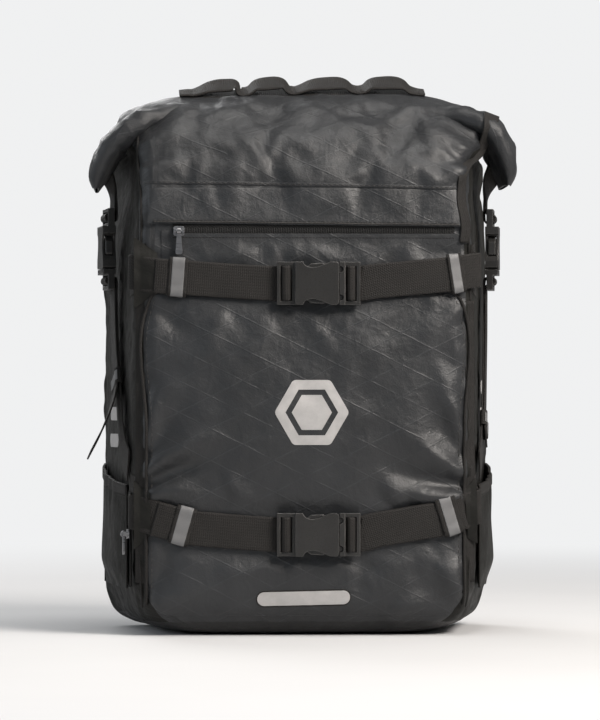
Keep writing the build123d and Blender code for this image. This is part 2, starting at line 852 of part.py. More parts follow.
handle_half = 46.0
leg_width = 12.0
with BuildPart() as release_handle:
    with BuildSketch(back.offset(1.5)):
        with Locations((-handle_half + leg_width / 2, 27), (handle_half - leg_width / 2, 27)):
            Rectangle(leg_width, 58)
    extrude(amount=2.4)
    with BuildSketch(back.offset(1.0)):
        with Locations((0, 62)):
            RectangleRounded(2 * handle_half, 16, 5)
    extrude(amount=7)
save(release_handle, "release_handle")

# ---- lower anchor ----------------------------------------------------------------------------
anchor_pin_radius = 4.0
anchor_plate = 4.6
with BuildPart() as anchor_carriage:
    with BuildSketch(Plane.YZ.offset(-14.0)):
        t_foot(lower_rail_z)
        with Locations((hook_back + anchor_plate / 2, lower_rail_z)):
            Rectangle(anchor_plate, 26)
    extrude(amount=28.0)
    with BuildSketch(Plane.XZ.offset(-hook_back - anchor_plate)):
        with Locations((0, lower_rail_z)):
            Circle(anchor_pin_radius + 0.05)
    extrude(amount=6.0, mode=Mode.SUBTRACT)
save(anchor_carriage, "anchor_carriage")

finger_reach = 26.0
with BuildPart() as anchor_hook:
    arm_near = hook_back + anchor_plate + 0.2
    with BuildSketch(Plane.XZ.offset(-arm_near)):
        with Locations((0, lower_rail_z)):
            Circle(anchor_pin_radius)
    extrude(amount=5.6)
    with BuildSketch(Plane.XZ.offset(-arm_near)):
        with Locations((-finger_reach / 2, lower_rail_z)):
            SlotCenterToCenter(finger_reach, 13)
    extrude(amount=-4.5)
    with BuildSketch(Plane.XZ.offset(-arm_near - 4.5)):
        with Locations((-finger_reach, lower_rail_z)):
            Rectangle(5, 13)
    extrude(amount=-14.0)
    with BuildSketch(Plane.XZ.offset(-arm_near - 14.5)):
        with Locations((-finger_reach + 5.5, lower_rail_z)):
            Rectangle(7, 13)
    extrude(amount=-4.0)
save(anchor_hook, "anchor_hook")
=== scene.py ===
import json
import math

import bmesh
import bpy
import numpy as np
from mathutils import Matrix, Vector, noise
from mathutils.bvhtree import BVHTree


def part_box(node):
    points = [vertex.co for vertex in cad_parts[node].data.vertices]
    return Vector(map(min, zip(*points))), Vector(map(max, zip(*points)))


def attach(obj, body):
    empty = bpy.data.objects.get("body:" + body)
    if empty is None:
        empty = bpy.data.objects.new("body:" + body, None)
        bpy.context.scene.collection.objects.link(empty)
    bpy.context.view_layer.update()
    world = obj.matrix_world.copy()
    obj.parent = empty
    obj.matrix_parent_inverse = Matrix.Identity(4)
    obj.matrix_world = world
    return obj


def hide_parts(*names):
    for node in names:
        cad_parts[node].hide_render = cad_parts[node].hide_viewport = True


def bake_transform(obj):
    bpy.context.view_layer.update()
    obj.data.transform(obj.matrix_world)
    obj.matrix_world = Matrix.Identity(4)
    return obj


# A roll-top pannier bag: fabric, webbing and finishes around the CAD frame.
# Working units are millimetres, with heights measured up from the bag's underside.

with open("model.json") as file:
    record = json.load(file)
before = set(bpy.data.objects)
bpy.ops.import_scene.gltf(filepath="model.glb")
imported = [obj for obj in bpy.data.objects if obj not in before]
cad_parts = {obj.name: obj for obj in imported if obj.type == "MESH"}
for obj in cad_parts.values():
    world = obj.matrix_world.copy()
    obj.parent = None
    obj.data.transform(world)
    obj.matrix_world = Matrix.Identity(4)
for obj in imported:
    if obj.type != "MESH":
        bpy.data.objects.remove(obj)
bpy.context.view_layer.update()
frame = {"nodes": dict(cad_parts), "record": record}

MM = 0.001
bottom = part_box("base_panel")[0].z / MM
front_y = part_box("main_shell")[0].y / MM
back_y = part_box("main_shell")[1].y / MM
back_half = 146.0  # half-width at the back corners
front_half = 124.0
side_lean = math.atan2(back_half - front_half, back_y - front_y)
webbing = 25.0
web_thick = 1.4
slot_thick = 1.3
side_strap_inset = 82.0  # side buckles, forward of the back corners
layer_back = -1.1  # the incoming strap, behind a buckle's back face
layer_front = 0.25  # its tail, lying on it
strap_heights = (73.0, 254.0)  # the front straps' middles
zip_height = 292.0
SIDES = ((-1, "left"), (1, "right"))


def metres(points):
    """Millimetre points, with heights above the underside, as metres in the frame."""
    out = np.asarray(points, float).reshape(-1, 3).copy()
    out[:, 2] += bottom
    return out * MM


def middle_height(node):
    low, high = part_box(node)
    return ((low.z + high.z) / 2) / MM - bottom


def smooth(low, high, value):
    """0 below low, 1 above high, eased in between."""
    t = np.clip((np.asarray(value, float) - low) / (high - low), 0, 1)
    return t * t * (3 - 2 * t)


def curve(knots, count):
    """A smooth curve through the knots, evenly spaced by length."""
    knots = np.asarray(knots, float)
    steps = np.linalg.norm(np.diff(knots[:, : min(3, knots.shape[1])], axis=0), axis=1)
    at = np.concatenate([[0], np.cumsum(np.maximum(steps, 1e-6))])
    t = np.linspace(0, at[-1], count)
    slopes = np.gradient(knots, at, axis=0)
    i = np.clip(np.searchsorted(at, t, side="right") - 1, 0, len(at) - 2)
    h = (at[i + 1] - at[i])[:, None]
    u = ((t - at[i]) / h[:, 0])[:, None]
    return (
        (2 * u**3 - 3 * u**2 + 1) * knots[i]
        + (u**3 - 2 * u**2 + u) * h * slopes[i]
        + (-2 * u**3 + 3 * u**2) * knots[i + 1]
        + (u**3 - u**2) * h * slopes[i + 1]
    )


# ---- node materials --------------------------------------------------------------------------
class Signal:
    """A number flowing through a node tree, so that shading reads as plain sums."""

    def __init__(self, tree, socket):
        self.tree, self.socket = tree, socket

    def maths(self, operation, *others):
        made = self.tree.nodes.new("ShaderNodeMath")
        made.operation = operation
        for socket, value in zip(made.inputs, (self, *others)):
            feed(self.tree, value, socket)
        return Signal(self.tree, made.outputs[0])

    def __add__(self, other):
        return self.maths("ADD", other)

    def __sub__(self, other):
        return self.maths("SUBTRACT", other)

    def __mul__(self, other):
        return self.maths("MULTIPLY", other)

    def __truediv__(self, other):
        return self.maths("DIVIDE", other)

    def sine(self, rate):
        return (self * rate).maths("SINE")

    def ramp(self, low, high, out_low=0.0, out_high=1.0):
        """An eased step from out_low to out_high between low and high."""
        settings = {"interpolation_type": "SMOOTHSTEP"}
        made = add_node(self.tree, "ShaderNodeMapRange", settings, Value=self)
        spans = {"From Min": low, "From Max": high, "To Min": out_low, "To Max": out_high}
        for key, number in spans.items():
            made.inputs[key].default_value = number
        return Signal(self.tree, made.outputs[0])


def feed(tree, value, socket):
    """Links a signal or another socket into a socket, or sets a plain value on it."""
    value = getattr(value, "socket", value)
    if isinstance(value, bpy.types.NodeSocket):
        tree.links.new(value, socket)
    else:
        socket.default_value = value


def add_node(tree, kind, settings=None, **inputs):
    made = tree.nodes.new(kind)
    for key, value in (settings or {}).items():
        setattr(made, key, value)
    for key, value in inputs.items():
        feed(tree, value, made.inputs[key.replace("_", " ")])
    return made


def noise_of(tree, vector, scale, detail=3.0, roughness=0.55):
    settings = {"Vector": vector, "Scale": scale, "Detail": detail, "Roughness": roughness}
    return Signal(tree, add_node(tree, "ShaderNodeTexNoise", **settings).outputs[0])


def blank_material(name):
    material = bpy.data.materials.new(name)
    material.use_nodes = True
    return material, material.node_tree, material.node_tree.nodes["Principled BSDF"]


def dressed(shader, tree, colour, shade, roughness, height, strength, distance, normal=None, **levels):
    """Sets a shader's shaded colour, roughness, bump and plain levels."""
    tint = add_node(tree, "ShaderNodeVectorMath", {"operation": "SCALE"}, Scale=shade)
    tint.inputs[0].default_value = colour
    feed(tree, tint.outputs[0], shader.inputs["Base Color"])
    feed(tree, roughness, shader.inputs["Roughness"])
    bump = add_node(tree, "ShaderNodeBump", Height=height, Strength=strength, Distance=distance)
    if normal:
        feed(tree, normal, bump.inputs["Normal"])
    feed(tree, bump.outputs[0], shader.inputs["Normal"])
    for key, level in levels.items():
        shader.inputs[key.replace("_", " ")].default_value = level


def cloth_coords(tree):
    """The fabric's own coordinates, in millimetres: the vector, along and across."""
    place = add_node(tree, "ShaderNodeAttribute", {"attribute_name": "cloth"}).outputs["Vector"]
    split = add_node(tree, "ShaderNodeSeparateXYZ", Vector=place)
    return place, Signal(tree, split.outputs[0]), Signal(tree, split.outputs[1])


def laminate(name, colour, lines=1.0, gloss=0.42, shine=0.45):
    """Coated ripstop: raised diamond threads, fine weave, crinkles and a satin sheen."""
    material, tree, shader = blank_material(name)
    place, along, across = cloth_coords(tree)
    diamond_wide, diamond_tall = 46.0, 23.0
    wide = along / diamond_wide + (noise_of(tree, place, 0.03) - 0.5) * 0.10
    tall = across / diamond_tall
    threads = None
    for off in (wide + tall, wide - tall):
        thread = off.maths("PINGPONG", 0.5).ramp(0.012, 0.034, 1.0, 0.0)
        threads = threads.maths("MAXIMUM", thread) if threads else thread
    threads = threads * noise_of(tree, place, 0.05).ramp(0.35, 0.6, 0.25, 1.0)
    edges = {"feature": "DISTANCE_TO_EDGE"}
    crinkle = add_node(tree, "ShaderNodeTexVoronoi", edges, Vector=place, Scale=0.055, Randomness=1.0)
    creases = Signal(tree, crinkle.outputs[0]).ramp(0.0, 0.12, 1.0, 0.0)
    ridges = {"noise_type": "RIDGED_MULTIFRACTAL"}
    ridged = add_node(tree, "ShaderNodeTexNoise", ridges, Vector=place, Scale=0.030, Detail=5.0)
    ridged.inputs["Roughness"].default_value = 0.45
    soft = noise_of(tree, place, 0.08, 6.0, 0.6)
    fine = noise_of(tree, place, 0.9, 4.0, 0.6)
    weave = along.sine(6.0) * across.sine(6.0)
    height = soft * 1.5 + creases * 0.12 + Signal(tree, ridged.outputs[0]) * 1.5
    height = height + threads * (0.22 * lines) + weave * 0.035 + fine * 0.18
    shade = noise_of(tree, place, 0.012, 4.0).ramp(0.3, 0.7, 0.82, 1.16)
    shade = shade + threads * (0.42 * lines) + fine * 0.10
    rough = soft.ramp(0.3, 0.7, gloss - 0.05, gloss + 0.10)
    sheen = {"Sheen_Weight": 0.05 * shine, "Sheen_Roughness": 0.4}
    dressed(shader, tree, colour, shade, rough, height, 0.60, 0.0011, Specular_IOR_Level=shine, **sheen)
    return material


def webbing_material(name, colour, rib=1.5):
    """Ribbed webbing: cross ribs, twill and thickened selvedges."""
    material, tree, shader = blank_material(name)
    place, along, across = cloth_coords(tree)
    ribs = along.sine(2 * math.pi / rib)
    twill = (along + across * 1.3).sine(2.6)
    rows = across.sine(2 * math.pi / 2.1)
    selvedge = across.maths("ABSOLUTE").ramp(10.4, 11.6)
    fuzz = noise_of(tree, place, 1.4, 4.0, 0.7)
    height = ribs * 0.30 + twill * 0.22 + rows * 0.16 + selvedge * 0.5 + fuzz
    shade = twill.ramp(-1.0, 1.0, 0.80, 1.12) + selvedge * 0.16
    shade = shade * noise_of(tree, place, 0.06).ramp(0.3, 0.7, 0.85, 1.15)
    levels = {"Specular_IOR_Level": 0.35, "Sheen_Weight": 0.02, "Sheen_Roughness": 0.45}
    dressed(shader, tree, colour, shade, 0.74, height, 0.6, 0.0004, **levels)
    return material


def plastic(name, colour, roughness=0.38, highlight_gain=1.0):
    """Moulded nylon: fine spark texture, painted highlights along the edges, faint flow variation."""
    material, tree, shader = blank_material(name)
    place = add_node(tree, "ShaderNodeTexCoord").outputs["Object"]
    grain = noise_of(tree, place, 2600.0, 3.0, 0.6)
    flow = noise_of(tree, place, 60.0, 4.0)
    face = add_node(tree, "ShaderNodeNewGeometry").outputs["Normal"]
    bevel = add_node(tree, "ShaderNodeBevel", {"samples": 4}, Radius=0.0010).outputs[0]
    turn = add_node(tree, "ShaderNodeVectorMath", {"operation": "DOT_PRODUCT"})
    feed(tree, bevel, turn.inputs[0])
    feed(tree, face, turn.inputs[1])
    # Painted highlight: where the bevelled normal turns away from the face, the base colour is lifted
    # several times over, so the edges read as lit.
    edge_highlight = Signal(tree, turn.outputs["Value"]).ramp(0.998, 0.90, 0.0, 1.0)
    edge_highlight = edge_highlight * flow.ramp(0.35, 0.65, 0.4, 1.0)
    shade = flow.ramp(0.3, 0.7, 0.88, 1.10) + edge_highlight * (3.2 * highlight_gain)
    rough = grain.ramp(0.3, 0.7, roughness - 0.06, roughness + 0.10)
    dressed(shader, tree, colour, shade, rough, grain, 0.25, 0.00012, bevel)
    return material


def metal(name, colour, roughness):
    """Anodised or plated metal: brush marks along X, worn edges, slight mottling."""
    material, tree, shader = blank_material(name)
    place = add_node(tree, "ShaderNodeTexCoord").outputs["Object"]
    stretched = add_node(tree, "ShaderNodeMapping", Vector=place, Scale=(12.0, 1400.0, 1400.0))
    marks = noise_of(tree, stretched.outputs[0], 1.0, 4.0, 0.6)
    shade = noise_of(tree, place, 90.0, 5.0).ramp(0.3, 0.7, 0.85, 1.12)
    bevel = add_node(tree, "ShaderNodeBevel", {"samples": 4}, Radius=0.0005).outputs[0]
    rough = marks.ramp(0.3, 0.7, roughness - 0.08, roughness + 0.12)
    dressed(shader, tree, colour, shade, rough, marks, 0.3, 0.00005, bevel, Metallic=1.0)
    return material


def reflective(name, colour, roughness):
    """Glass-bead reflective film: a fine bead grid with faint scuffs."""
    material, tree, shader = blank_material(name)
    place, along, across = cloth_coords(tree)
    beads = (along + across).sine(5.2) * (along - across).sine(5.2)
    scuff = noise_of(tree, place, 0.12, 6.0, 0.65)
    shade = scuff.ramp(0.3, 0.7, 0.90, 1.05) + beads * 0.05
    rough = scuff.ramp(0.3, 0.7, roughness, roughness + 0.2)
    dressed(shader, tree, colour, shade, rough, beads, 0.35, 0.00012, Metallic=0.15)
    return material


LAMINATE = laminate("ripstop_laminate", (0.0175, 0.0186, 0.0205), lines=0.9, gloss=0.42)
SIDE_LAMINATE = laminate("side_laminate", (0.0088, 0.0086, 0.0074), lines=0.25, gloss=0.62, shine=0.2)
BASE_LAMINATE = laminate("base_laminate", (0.010, 0.010, 0.0105), lines=0.0, gloss=0.55)
WEBBING = webbing_material("ribbed_webbing", (0.0112, 0.0098, 0.0088))
BINDING = webbing_material("edge_binding", (0.0105, 0.0092, 0.0082), rib=0.9)
BUCKLE = plastic("buckle_nylon", (0.0170, 0.0164, 0.0158), 0.32, 1.6)
HOOK = plastic("hook_nylon", (0.016, 0.016, 0.017), 0.42, 0.7)
BOARD = plastic("board_sheet", (0.035, 0.035, 0.035), 0.5, 0.3)
MARK = reflective("pale_mark", (0.42, 0.41, 0.405), 0.5)
KEEPER = reflective("keeper_film", (0.15, 0.15, 0.152), 0.4)
THREAD = webbing_material("sewing_thread", (0.045, 0.043, 0.041), rib=0.6)
RAIL = metal("black_anodised", (0.045, 0.045, 0.050), 0.42)
STEEL = metal("zinc_steel", (0.45, 0.45, 0.47), 0.32)
ZIP_METAL = metal("zip_metal", (0.26, 0.26, 0.27), 0.30)
ZIP_TAPE = webbing_material("woven_zip_tape", (0.005, 0.005, 0.005), rib=0.8)
COIL = plastic("zip_coil_nylon", (0.004, 0.004, 0.004), 0.6, 0.1)

CAD_FINISH = {
    "buckle_plastic": BUCKLE,
    "hook_plastic": HOOK,
    "stiffener_plastic": BOARD,
    "rail_aluminium": RAIL,
    "steel": STEEL,
    "zip_metal": ZIP_METAL,
}


# ---- mesh helpers ----------------------------------------------------------------------------
def make_piece(name, points, faces, material, coords=None, sharp=None):
    """A mesh object from millimetre points, with the fabric's own coordinates per point."""
    mesh = bpy.data.meshes.new(name)
    mesh.from_pydata(metres(points).tolist(), [], faces)
    points = np.asarray(points, float).reshape(-1, 3)
    if coords is None:
        coords = points[:, [0, 2, 1]]
    coords = np.asarray(coords, float).reshape(len(points), -1)
    if coords.shape[1] == 2:
        coords = np.column_stack([coords, np.zeros(len(coords))])
    cloth = mesh.attributes.new("cloth", "FLOAT_VECTOR", "POINT")
    cloth.data.foreach_set("vector", coords.astype(np.float32).ravel())
    mesh.materials.append(material)
    mesh.update()
    shape = bmesh.new()
    shape.from_mesh(mesh)
    bmesh.ops.recalc_face_normals(shape, faces=shape.faces)
    shape.to_mesh(mesh)
    shape.free()
    mesh.polygons.foreach_set("use_smooth", [True] * len(mesh.polygons))
    if sharp:
        mesh.set_sharp_from_angle(angle=math.radians(sharp))
    piece = bpy.data.objects.new(name, mesh)
    bpy.context.collection.objects.link(piece)
    return piece


def grid_faces(rows, columns, round_columns=False, start=0):
    faces = []
    for i in range(rows - 1):
        for j in range(columns if round_columns else columns - 1):
            a, b = start + i * columns + j, start + i * columns + (j + 1) % columns
            faces.append((a, b, b + columns, a + columns))
    return faces


# Half of a flat band's cross-section, as shares of its width and thickness.
BAND = ((-0.5, 0.0), (-0.485, 0.42), (-0.42, 0.5), (-0.2, 0.5))
BAND += ((0.0, 0.5), (0.2, 0.5), (0.42, 0.5), (0.485, 0.42))
BAND_SECTION = np.array(BAND + tuple((-x, -y) for x, y in BAND))


def tube_faces(rows, columns, start=0):
    """The faces of a tube of rows, with a cap at each end."""
    last = start + (rows - 1) * columns
    caps = [tuple(range(start + columns - 1, start - 1, -1)), tuple(range(last, last + columns))]
    return grid_faces(rows, columns, True, start) + caps


def run_along(path):
    """How far along a path each of its points lies."""
    steps = np.linalg.norm(np.diff(path, axis=0), axis=1)
    return np.concatenate([[0], np.cumsum(steps)])


def directions(path):
    tangent = np.gradient(path, axis=0)
    return tangent / np.linalg.norm(tangent, axis=1)[:, None]


def band(name, path, across, width, thickness, material):
    """A flat band swept along a path. across is the direction of its width, one for all or one a
    point; width may vary along it."""
    path = np.asarray(path, float)
    across = np.broadcast_to(np.asarray(across, float), path.shape)
    width = np.broadcast_to(np.asarray(width, float), (len(path),))
    tangent = directions(path)
    across = across - (across * tangent).sum(1)[:, None] * tangent
    across /= np.linalg.norm(across, axis=1)[:, None]
    normal = np.cross(tangent, across)
    run = run_along(path)
    points, coords = [], []
    for i in range(len(path)):
        for w, n in BAND_SECTION:
            points.append(path[i] + across[i] * w * width[i] + normal[i] * n * thickness)
            coords.append((run[i], w * width[i]))
    return make_piece(name, points, tube_faces(len(path), len(BAND_SECTION)), material, coords)


def sheet(name, outer, inner, material, coords, sharp=50):
    """A thin closed solid between an outer and an inner grid of points."""
    outer, inner = np.asarray(outer, float), np.asarray(inner, float)
    rows, columns = outer.shape[:2]
    count = rows * columns
    faces = grid_faces(rows, columns)
    faces += [tuple(reversed(face)) for face in grid_faces(rows, columns, start=count)]
    edges = [range(columns), range((rows - 1) * columns, count)]
    edges += [range(0, count, columns), range(columns - 1, count, columns)]
    for edge in edges:
        faces += [(p, q, q + count, p + count) for p, q in zip(edge, edge[1:])]
    coords = np.asarray(coords, float).reshape(count, -1)
    points = np.vstack([outer.reshape(-1, 3), inner.reshape(-1, 3)])
    return make_piece(name, points, faces, material, np.vstack([coords, coords]), sharp)


def tube(name, path, radius, material):
    """A round cord along a path."""
    sides = 8
    path = np.asarray(path, float)
    tangent = directions(path)
    side = np.array((0.0, 0.0, 1.0)) if abs(tangent[0][2]) < 0.9 else np.array((1.0, 0.0, 0.0))
    points, coords, run = [], [], 0.0
    for i, centre in enumerate(path):
        side = side - (side @ tangent[i]) * tangent[i]
        side = side / np.linalg.norm(side)
        other = np.cross(tangent[i], side)
        run += np.linalg.norm(centre - path[max(i - 1, 0)])
        for k in range(sides):
            turn = 2 * math.pi * k / sides
            points.append(centre + radius * (math.cos(turn) * side + math.sin(turn) * other))
            coords.append((run, radius * turn))
    return make_piece(name, points, tube_faces(len(path), sides), material, coords)


def stitches(name, path, outward, length=2.6, gap=1.3, radius=0.32):
    """A row of sewn stitches along a path, each a small raised bead of thread."""
    path = np.asarray(path, float)
    outward = np.broadcast_to(np.asarray(outward, float), path.shape)
    run = run_along(path)
    points, coords, faces = [], [], []
    sides = 6
    for begin in np.arange(0.5, run[-1] - length, length + gap):
        stations = begin + length * np.array((0.0, 0.14, 0.5, 0.86, 1.0))
        sizes = radius * np.array((0.25, 0.85, 1.0, 0.85, 0.25))
        centres = np.column_stack([np.interp(stations, run, path[:, k]) for k in range(3)])
        out = np.array([np.interp(stations[2], run, outward[:, k]) for k in range(3)])
        tangent = centres[-1] - centres[0]
        tangent = tangent / np.linalg.norm(tangent)
        side = np.cross(tangent, out)
        side = side / np.linalg.norm(side)
        faces += tube_faces(len(stations), sides, len(points))
        for centre, size in zip(centres, sizes):
            for k in range(sides):
                turn = 2 * math.pi * k / sides
                points.append(centre + size * (math.cos(turn) * side + math.sin(turn) * out * 0.8))
                coords.append((stations[0], k * 0.3))
    return make_piece(name, points, faces, THREAD, coords)


# ---- the bag's fabric ------------------------------------------------------------------------
# Rows of the lofted shell: front y and height, back y and height, half-widths at the front and
# back, corner radius.
SHELL_ROWS = (
    (-150, 0.6, -62, 0.6, 58, 70, 20),
    (-166, 0.8, -42, 0.8, 82, 104, 24),
    (-177, 4.0, -30, 3.0, 101, 124, 25),
    (-184, 13, -25.5, 10, 114, 136, 20),
    (-187, 30, -24.4, 24, 120, 143, 14),
    (-187, 62, -24, 55, 122, 145, 11),
    (-187, 112, -24, 104, 122.5, 146, 10),
    (-187, 165, -24, 158, 122.5, 146, 10),
    (-187, 220, -24, 212, 122, 146, 10),
    (-187, 270, -24, 262, 121, 146, 10),
    (-186, 310, -24.5, 300, 120, 144.5, 10),
    (-181, 335, -31, 322, 120, 142, 12),
    (-171, 356, -47, 340, 121, 142, 13),
    (-157, 374, -68, 354, 124, 141, 12),
    (-141, 388, -83, 368, 128, 138, 11),
    (-125, 395.5, -88, 384, 131, 134, 8),
    (-111, 397, -99, 394, 129, 130, 3),
    (-106, 397, -106, 397, 127, 127, 0.2),
)
FRONT_COUNT, CORNER_COUNT, SIDE_COUNT = 56, 5, 32
ROW_COUNT = 112


def shell_loop(row):
    """One row of the shell as a loop of points, from the front left corner round to the right."""
    front, front_h, back, back_h, half_front, half_back, radius = row
    depth = max(math.hypot(back - front, back_h - front_h), 0.4)
    radius = min(radius, depth * 0.49)

    def spot(x, s):
        share = s / depth
        return (x, front + (back - front) * share, front_h + (back_h - front_h) * share)

    flat = []
    for k in range(FRONT_COUNT):
        flat.append(((-1 + 2 * (k + 0.5) / FRONT_COUNT) * (half_front - radius), 0.0))
    corner_turns = [(k + 0.5) / CORNER_COUNT * math.pi / 2 for k in range(CORNER_COUNT)]
    for turn in corner_turns:
        flat.append((half_front - radius + radius * math.sin(turn), radius - radius * math.cos(turn)))
    for k in range(SIDE_COUNT):
        s = radius + (depth - 2 * radius) * (k + 0.5) / SIDE_COUNT
        flat.append((half_front + (half_back - half_front) * s / depth, s))
    for turn in corner_turns:
        flat.append((half_back - radius + radius * math.cos(turn), depth - radius + radius * math.sin(turn)))
    for k in range(FRONT_COUNT):
        flat.append(((1 - 2 * (k + 0.5) / FRONT_COUNT) * (half_back - radius), depth))
    for turn in corner_turns:
        behind = depth - radius + radius * math.cos(turn)
        flat.append((-(half_back - radius) - radius * math.sin(turn), behind))
    for k in range(SIDE_COUNT):
        s = depth - radius - (depth - 2 * radius) * (k + 0.5) / SIDE_COUNT
        flat.append((-(half_front + (half_back - half_front) * s / depth), s))
    for turn in corner_turns:
        flat.append((-(half_front - radius) - radius * math.cos(turn), radius - radius * math.sin(turn)))
    return [spot(x, s) for x, s in flat]


# How far the filled bag's front stands out, by height: least under the straps and the zip.
BULGE_HEIGHTS = (0, 20, 55, 73, 92, 130, 165, 210, 240, 254, 272, 290, 306, 325, 350, 397)
BULGES = (0, 3, 5, 3.2, 5, 9.5, 10.5, 8.5, 4.5, 3.2, 2.6, 0.6, 1.0, 2.5, 1.5, 0)

# Creases: from x, height to x, height, width, how far out (negative: a valley).
CREASES = (
    (-114, 120, -52, 148, 6, 3.6),
    (-114, 110, -58, 126, 5, -3.8),
    (-113, 101, -66, 102, 6, 3.0),
    (-112, 132, -76, 176, 7, -2.6),
    (-113, 96, -84, 84, 5, -2.0),
    (-114, 140, -96, 196, 7, 2.2),
    (113, 118, 60, 160, 6, 3.2),
    (114, 109, 42, 130, 7, -4.2),
    (113, 99, 56, 110, 6, 3.8),
    (112, 132, 84, 184, 8, -2.8),
    (112, 93, 30, 98, 5, -2.2),
    (113, 146, 98, 208, 7, 2.4),
    (70, 96, 54, 116, 5, 2.2),
    (62, 95, 40, 112, 5, -1.8),
    (-40, 97, -62, 118, 6, 1.8),
    (-112, 236, -70, 200, 8, -2.2),
    (-60, 236, -84, 190, 8, 1.8),
    (112, 236, 60, 206, 8, 2.2),
    (84, 238, 40, 214, 7, -1.8),
    (124, 343, 62, 354, 6, -4.2),
    (124, 337, 70, 333, 6, 3.4),
    (123, 352, 78, 378, 6, 3.6),
    (122, 346, 92, 370, 5, -3.4),
    (124, 340, 84, 344, 4, 2.6),
    (118, 300, 70, 287, 6, 2.4),
    (116, 288, 80, 276, 5, -2.4),
    (-118, 300, -92, 276, 6, -2.4),
    (-120, 358, -62, 364, 8, 3.0),
    (-122, 344, -52, 352, 8, -2.8),
    (-118, 336, -70, 340, 6, 2.2),
    (-96, 374, -4, 380, 9, 2.4),
    (-84, 365, 24, 368, 8, -2.4),
    (8, 360, 98, 366, 9, 2.2),
    (-62, 352, 44, 347, 8, 2.0),
    (-20, 342, 70, 338, 7, -1.8),
    (30, 376, 96, 384, 8, -1.8),
    (118, 28, 88, 64, 8, 3.2),
    (112, 22, 66, 42, 7, -2.8),
    (114, 46, 96, 60, 6, 2.2),
    (-116, 30, -88, 60, 8, -3.0),
    (-108, 20, -56, 32, 7, 2.4),
    (60, 16, 112, 26, 6, 2.8),
    (-30, 56, -70, 40, 7, 1.6),
    (30, 56, 64, 44, 7, -1.6),
)


def crease_field(x, h):
    """How far every crease together moves a point at x and height h outwards."""
    total = np.zeros_like(x)
    for x0, h0, x1, h1, width, out in CREASES:
        dx, dh = x1 - x0, h1 - h0
        length = math.hypot(dx, dh)
        run = ((x - x0) * dx + (h - h0) * dh) / length
        bow = 0.06 * length * np.sin(np.clip(run / length, 0, 1) * math.pi)
        off = ((x - x0) * -dh + (h - h0) * dx) / length - bow
        share = np.clip(run / length, -0.15, 1.0)
        fade = smooth(-0.15, 0.05, share) * (1 - smooth(0.35, 1.0, share))
        depth = out * (1.35 if h0 < 150 else 1.1)
        total += depth * fade * np.exp(-((off / (width * (0.7 + 0.6 * np.clip(share, 0, 1)))) ** 2))
    return total


def crumple(points, scale, seed):
    """Sharp-ridged noise at each point."""
    shift = Vector((seed * 17.3, seed * 5.1, seed * 9.7))
    return np.array([1 - 2 * abs(noise.noise(Vector(p) / scale + shift)) for p in points])


def shell_points():
    """The filled, sagging shell before its simulation: points in rows, and the cloth coordinates."""
    knots = np.array(SHELL_ROWS, float)
    rows = curve(knots, ROW_COUNT)
    loops = np.array([shell_loop(row) for row in rows])
    steps = np.linalg.norm(np.diff(loops, axis=1, append=loops[:, :1]), axis=2)
    girth = np.cumsum(steps, axis=1) - steps
    middle = FRONT_COUNT // 2
    girth -= girth[:, middle : middle + 1]
    climb = run_along(loops[:, middle])
    coords = np.stack([girth, np.broadcast_to(climb[:, None], girth.shape)], axis=2)
    x, y, h = loops[..., 0].copy(), loops[..., 1].copy(), loops[..., 2].copy()

    # the filled front, and the flatter back
    facing = 1 - smooth(front_y, front_y + 60, y)
    across = np.clip(1 - (x / 126) ** 2, 0, 1) ** 0.75
    y -= np.interp(h, BULGE_HEIGHTS, BULGES) * across * facing * smooth(2, 20, h)

    # creases and undulation of the front, and crumple everywhere
    forward = 1 - smooth(front_y + 12, front_y + 46, y)
    top = smooth(322, 350, h)
    push = crease_field(x, h) * np.maximum(forward, top * (1 - smooth(-110, -95, y)))
    y -= push * (1 - 0.45 * top)
    h += push * 0.6 * top
    flat = np.stack([x, y, h], axis=2).reshape(-1, 3)
    rough = crumple(flat, 46, 1) + crumple(flat, 21, 2) * 0.7 + crumple(flat, 10, 3) * 0.25
    rough = rough.reshape(x.shape)
    quiet = 1 - np.exp(-(((h - zip_height) / 9) ** 2)) * forward * 0.9
    lively = 1.0 + 0.9 * smooth(322, 345, h)
    outward = np.where(y < (front_y + back_y) / 2, -1, 1)
    y += outward * (rough - 0.6) * quiet * lively * smooth(6, 30, h)
    sideways = smooth(112, 122, np.abs(x))
    x += np.sign(x) * sideways * (rough - 0.9) * 0.8

    # the gusset folds in at each side towards the roll
    waist = np.exp(-(((y + 105) / 26) ** 2)) * smooth(292, 352, h) * (1 - smooth(372, 392, h))
    x -= np.sign(x) * smooth(100, 125, np.abs(x)) * 6 * waist
    flare = smooth(342, 386, h) * (1 - smooth(-125, -105, y))
    x += smooth(88, 126, x) * 13 * flare
    x -= smooth(88, 126, -x) * 5 * flare

    # the roll droops towards its ends
    droop = np.clip(np.abs(x) - 84, 0, None) ** 1.7 * 0.019
    h -= droop * smooth(340, 372, h) * np.where(x < 0, 1.0, 0.9)
    h += 1.3 * np.sin(x / 37.0 + 0.6) * smooth(360, 390, h)
    return np.stack([x, y, h], axis=2), coords


def skin_points(piece):
    """A piece's points in millimetres, with heights above the underside."""
    points = np.array([v.co for v in piece.data.vertices]) / MM
    points[:, 2] -= bottom
    return points


def welded(piece, gap):
    """Joins the piece's points that lie closer than the gap, which the cloth solver can't move."""
    join = bmesh.new()
    join.from_mesh(piece.data)
    bmesh.ops.remove_doubles(join, verts=join.verts, dist=gap * MM)
    join.to_mesh(piece.data)
    join.free()


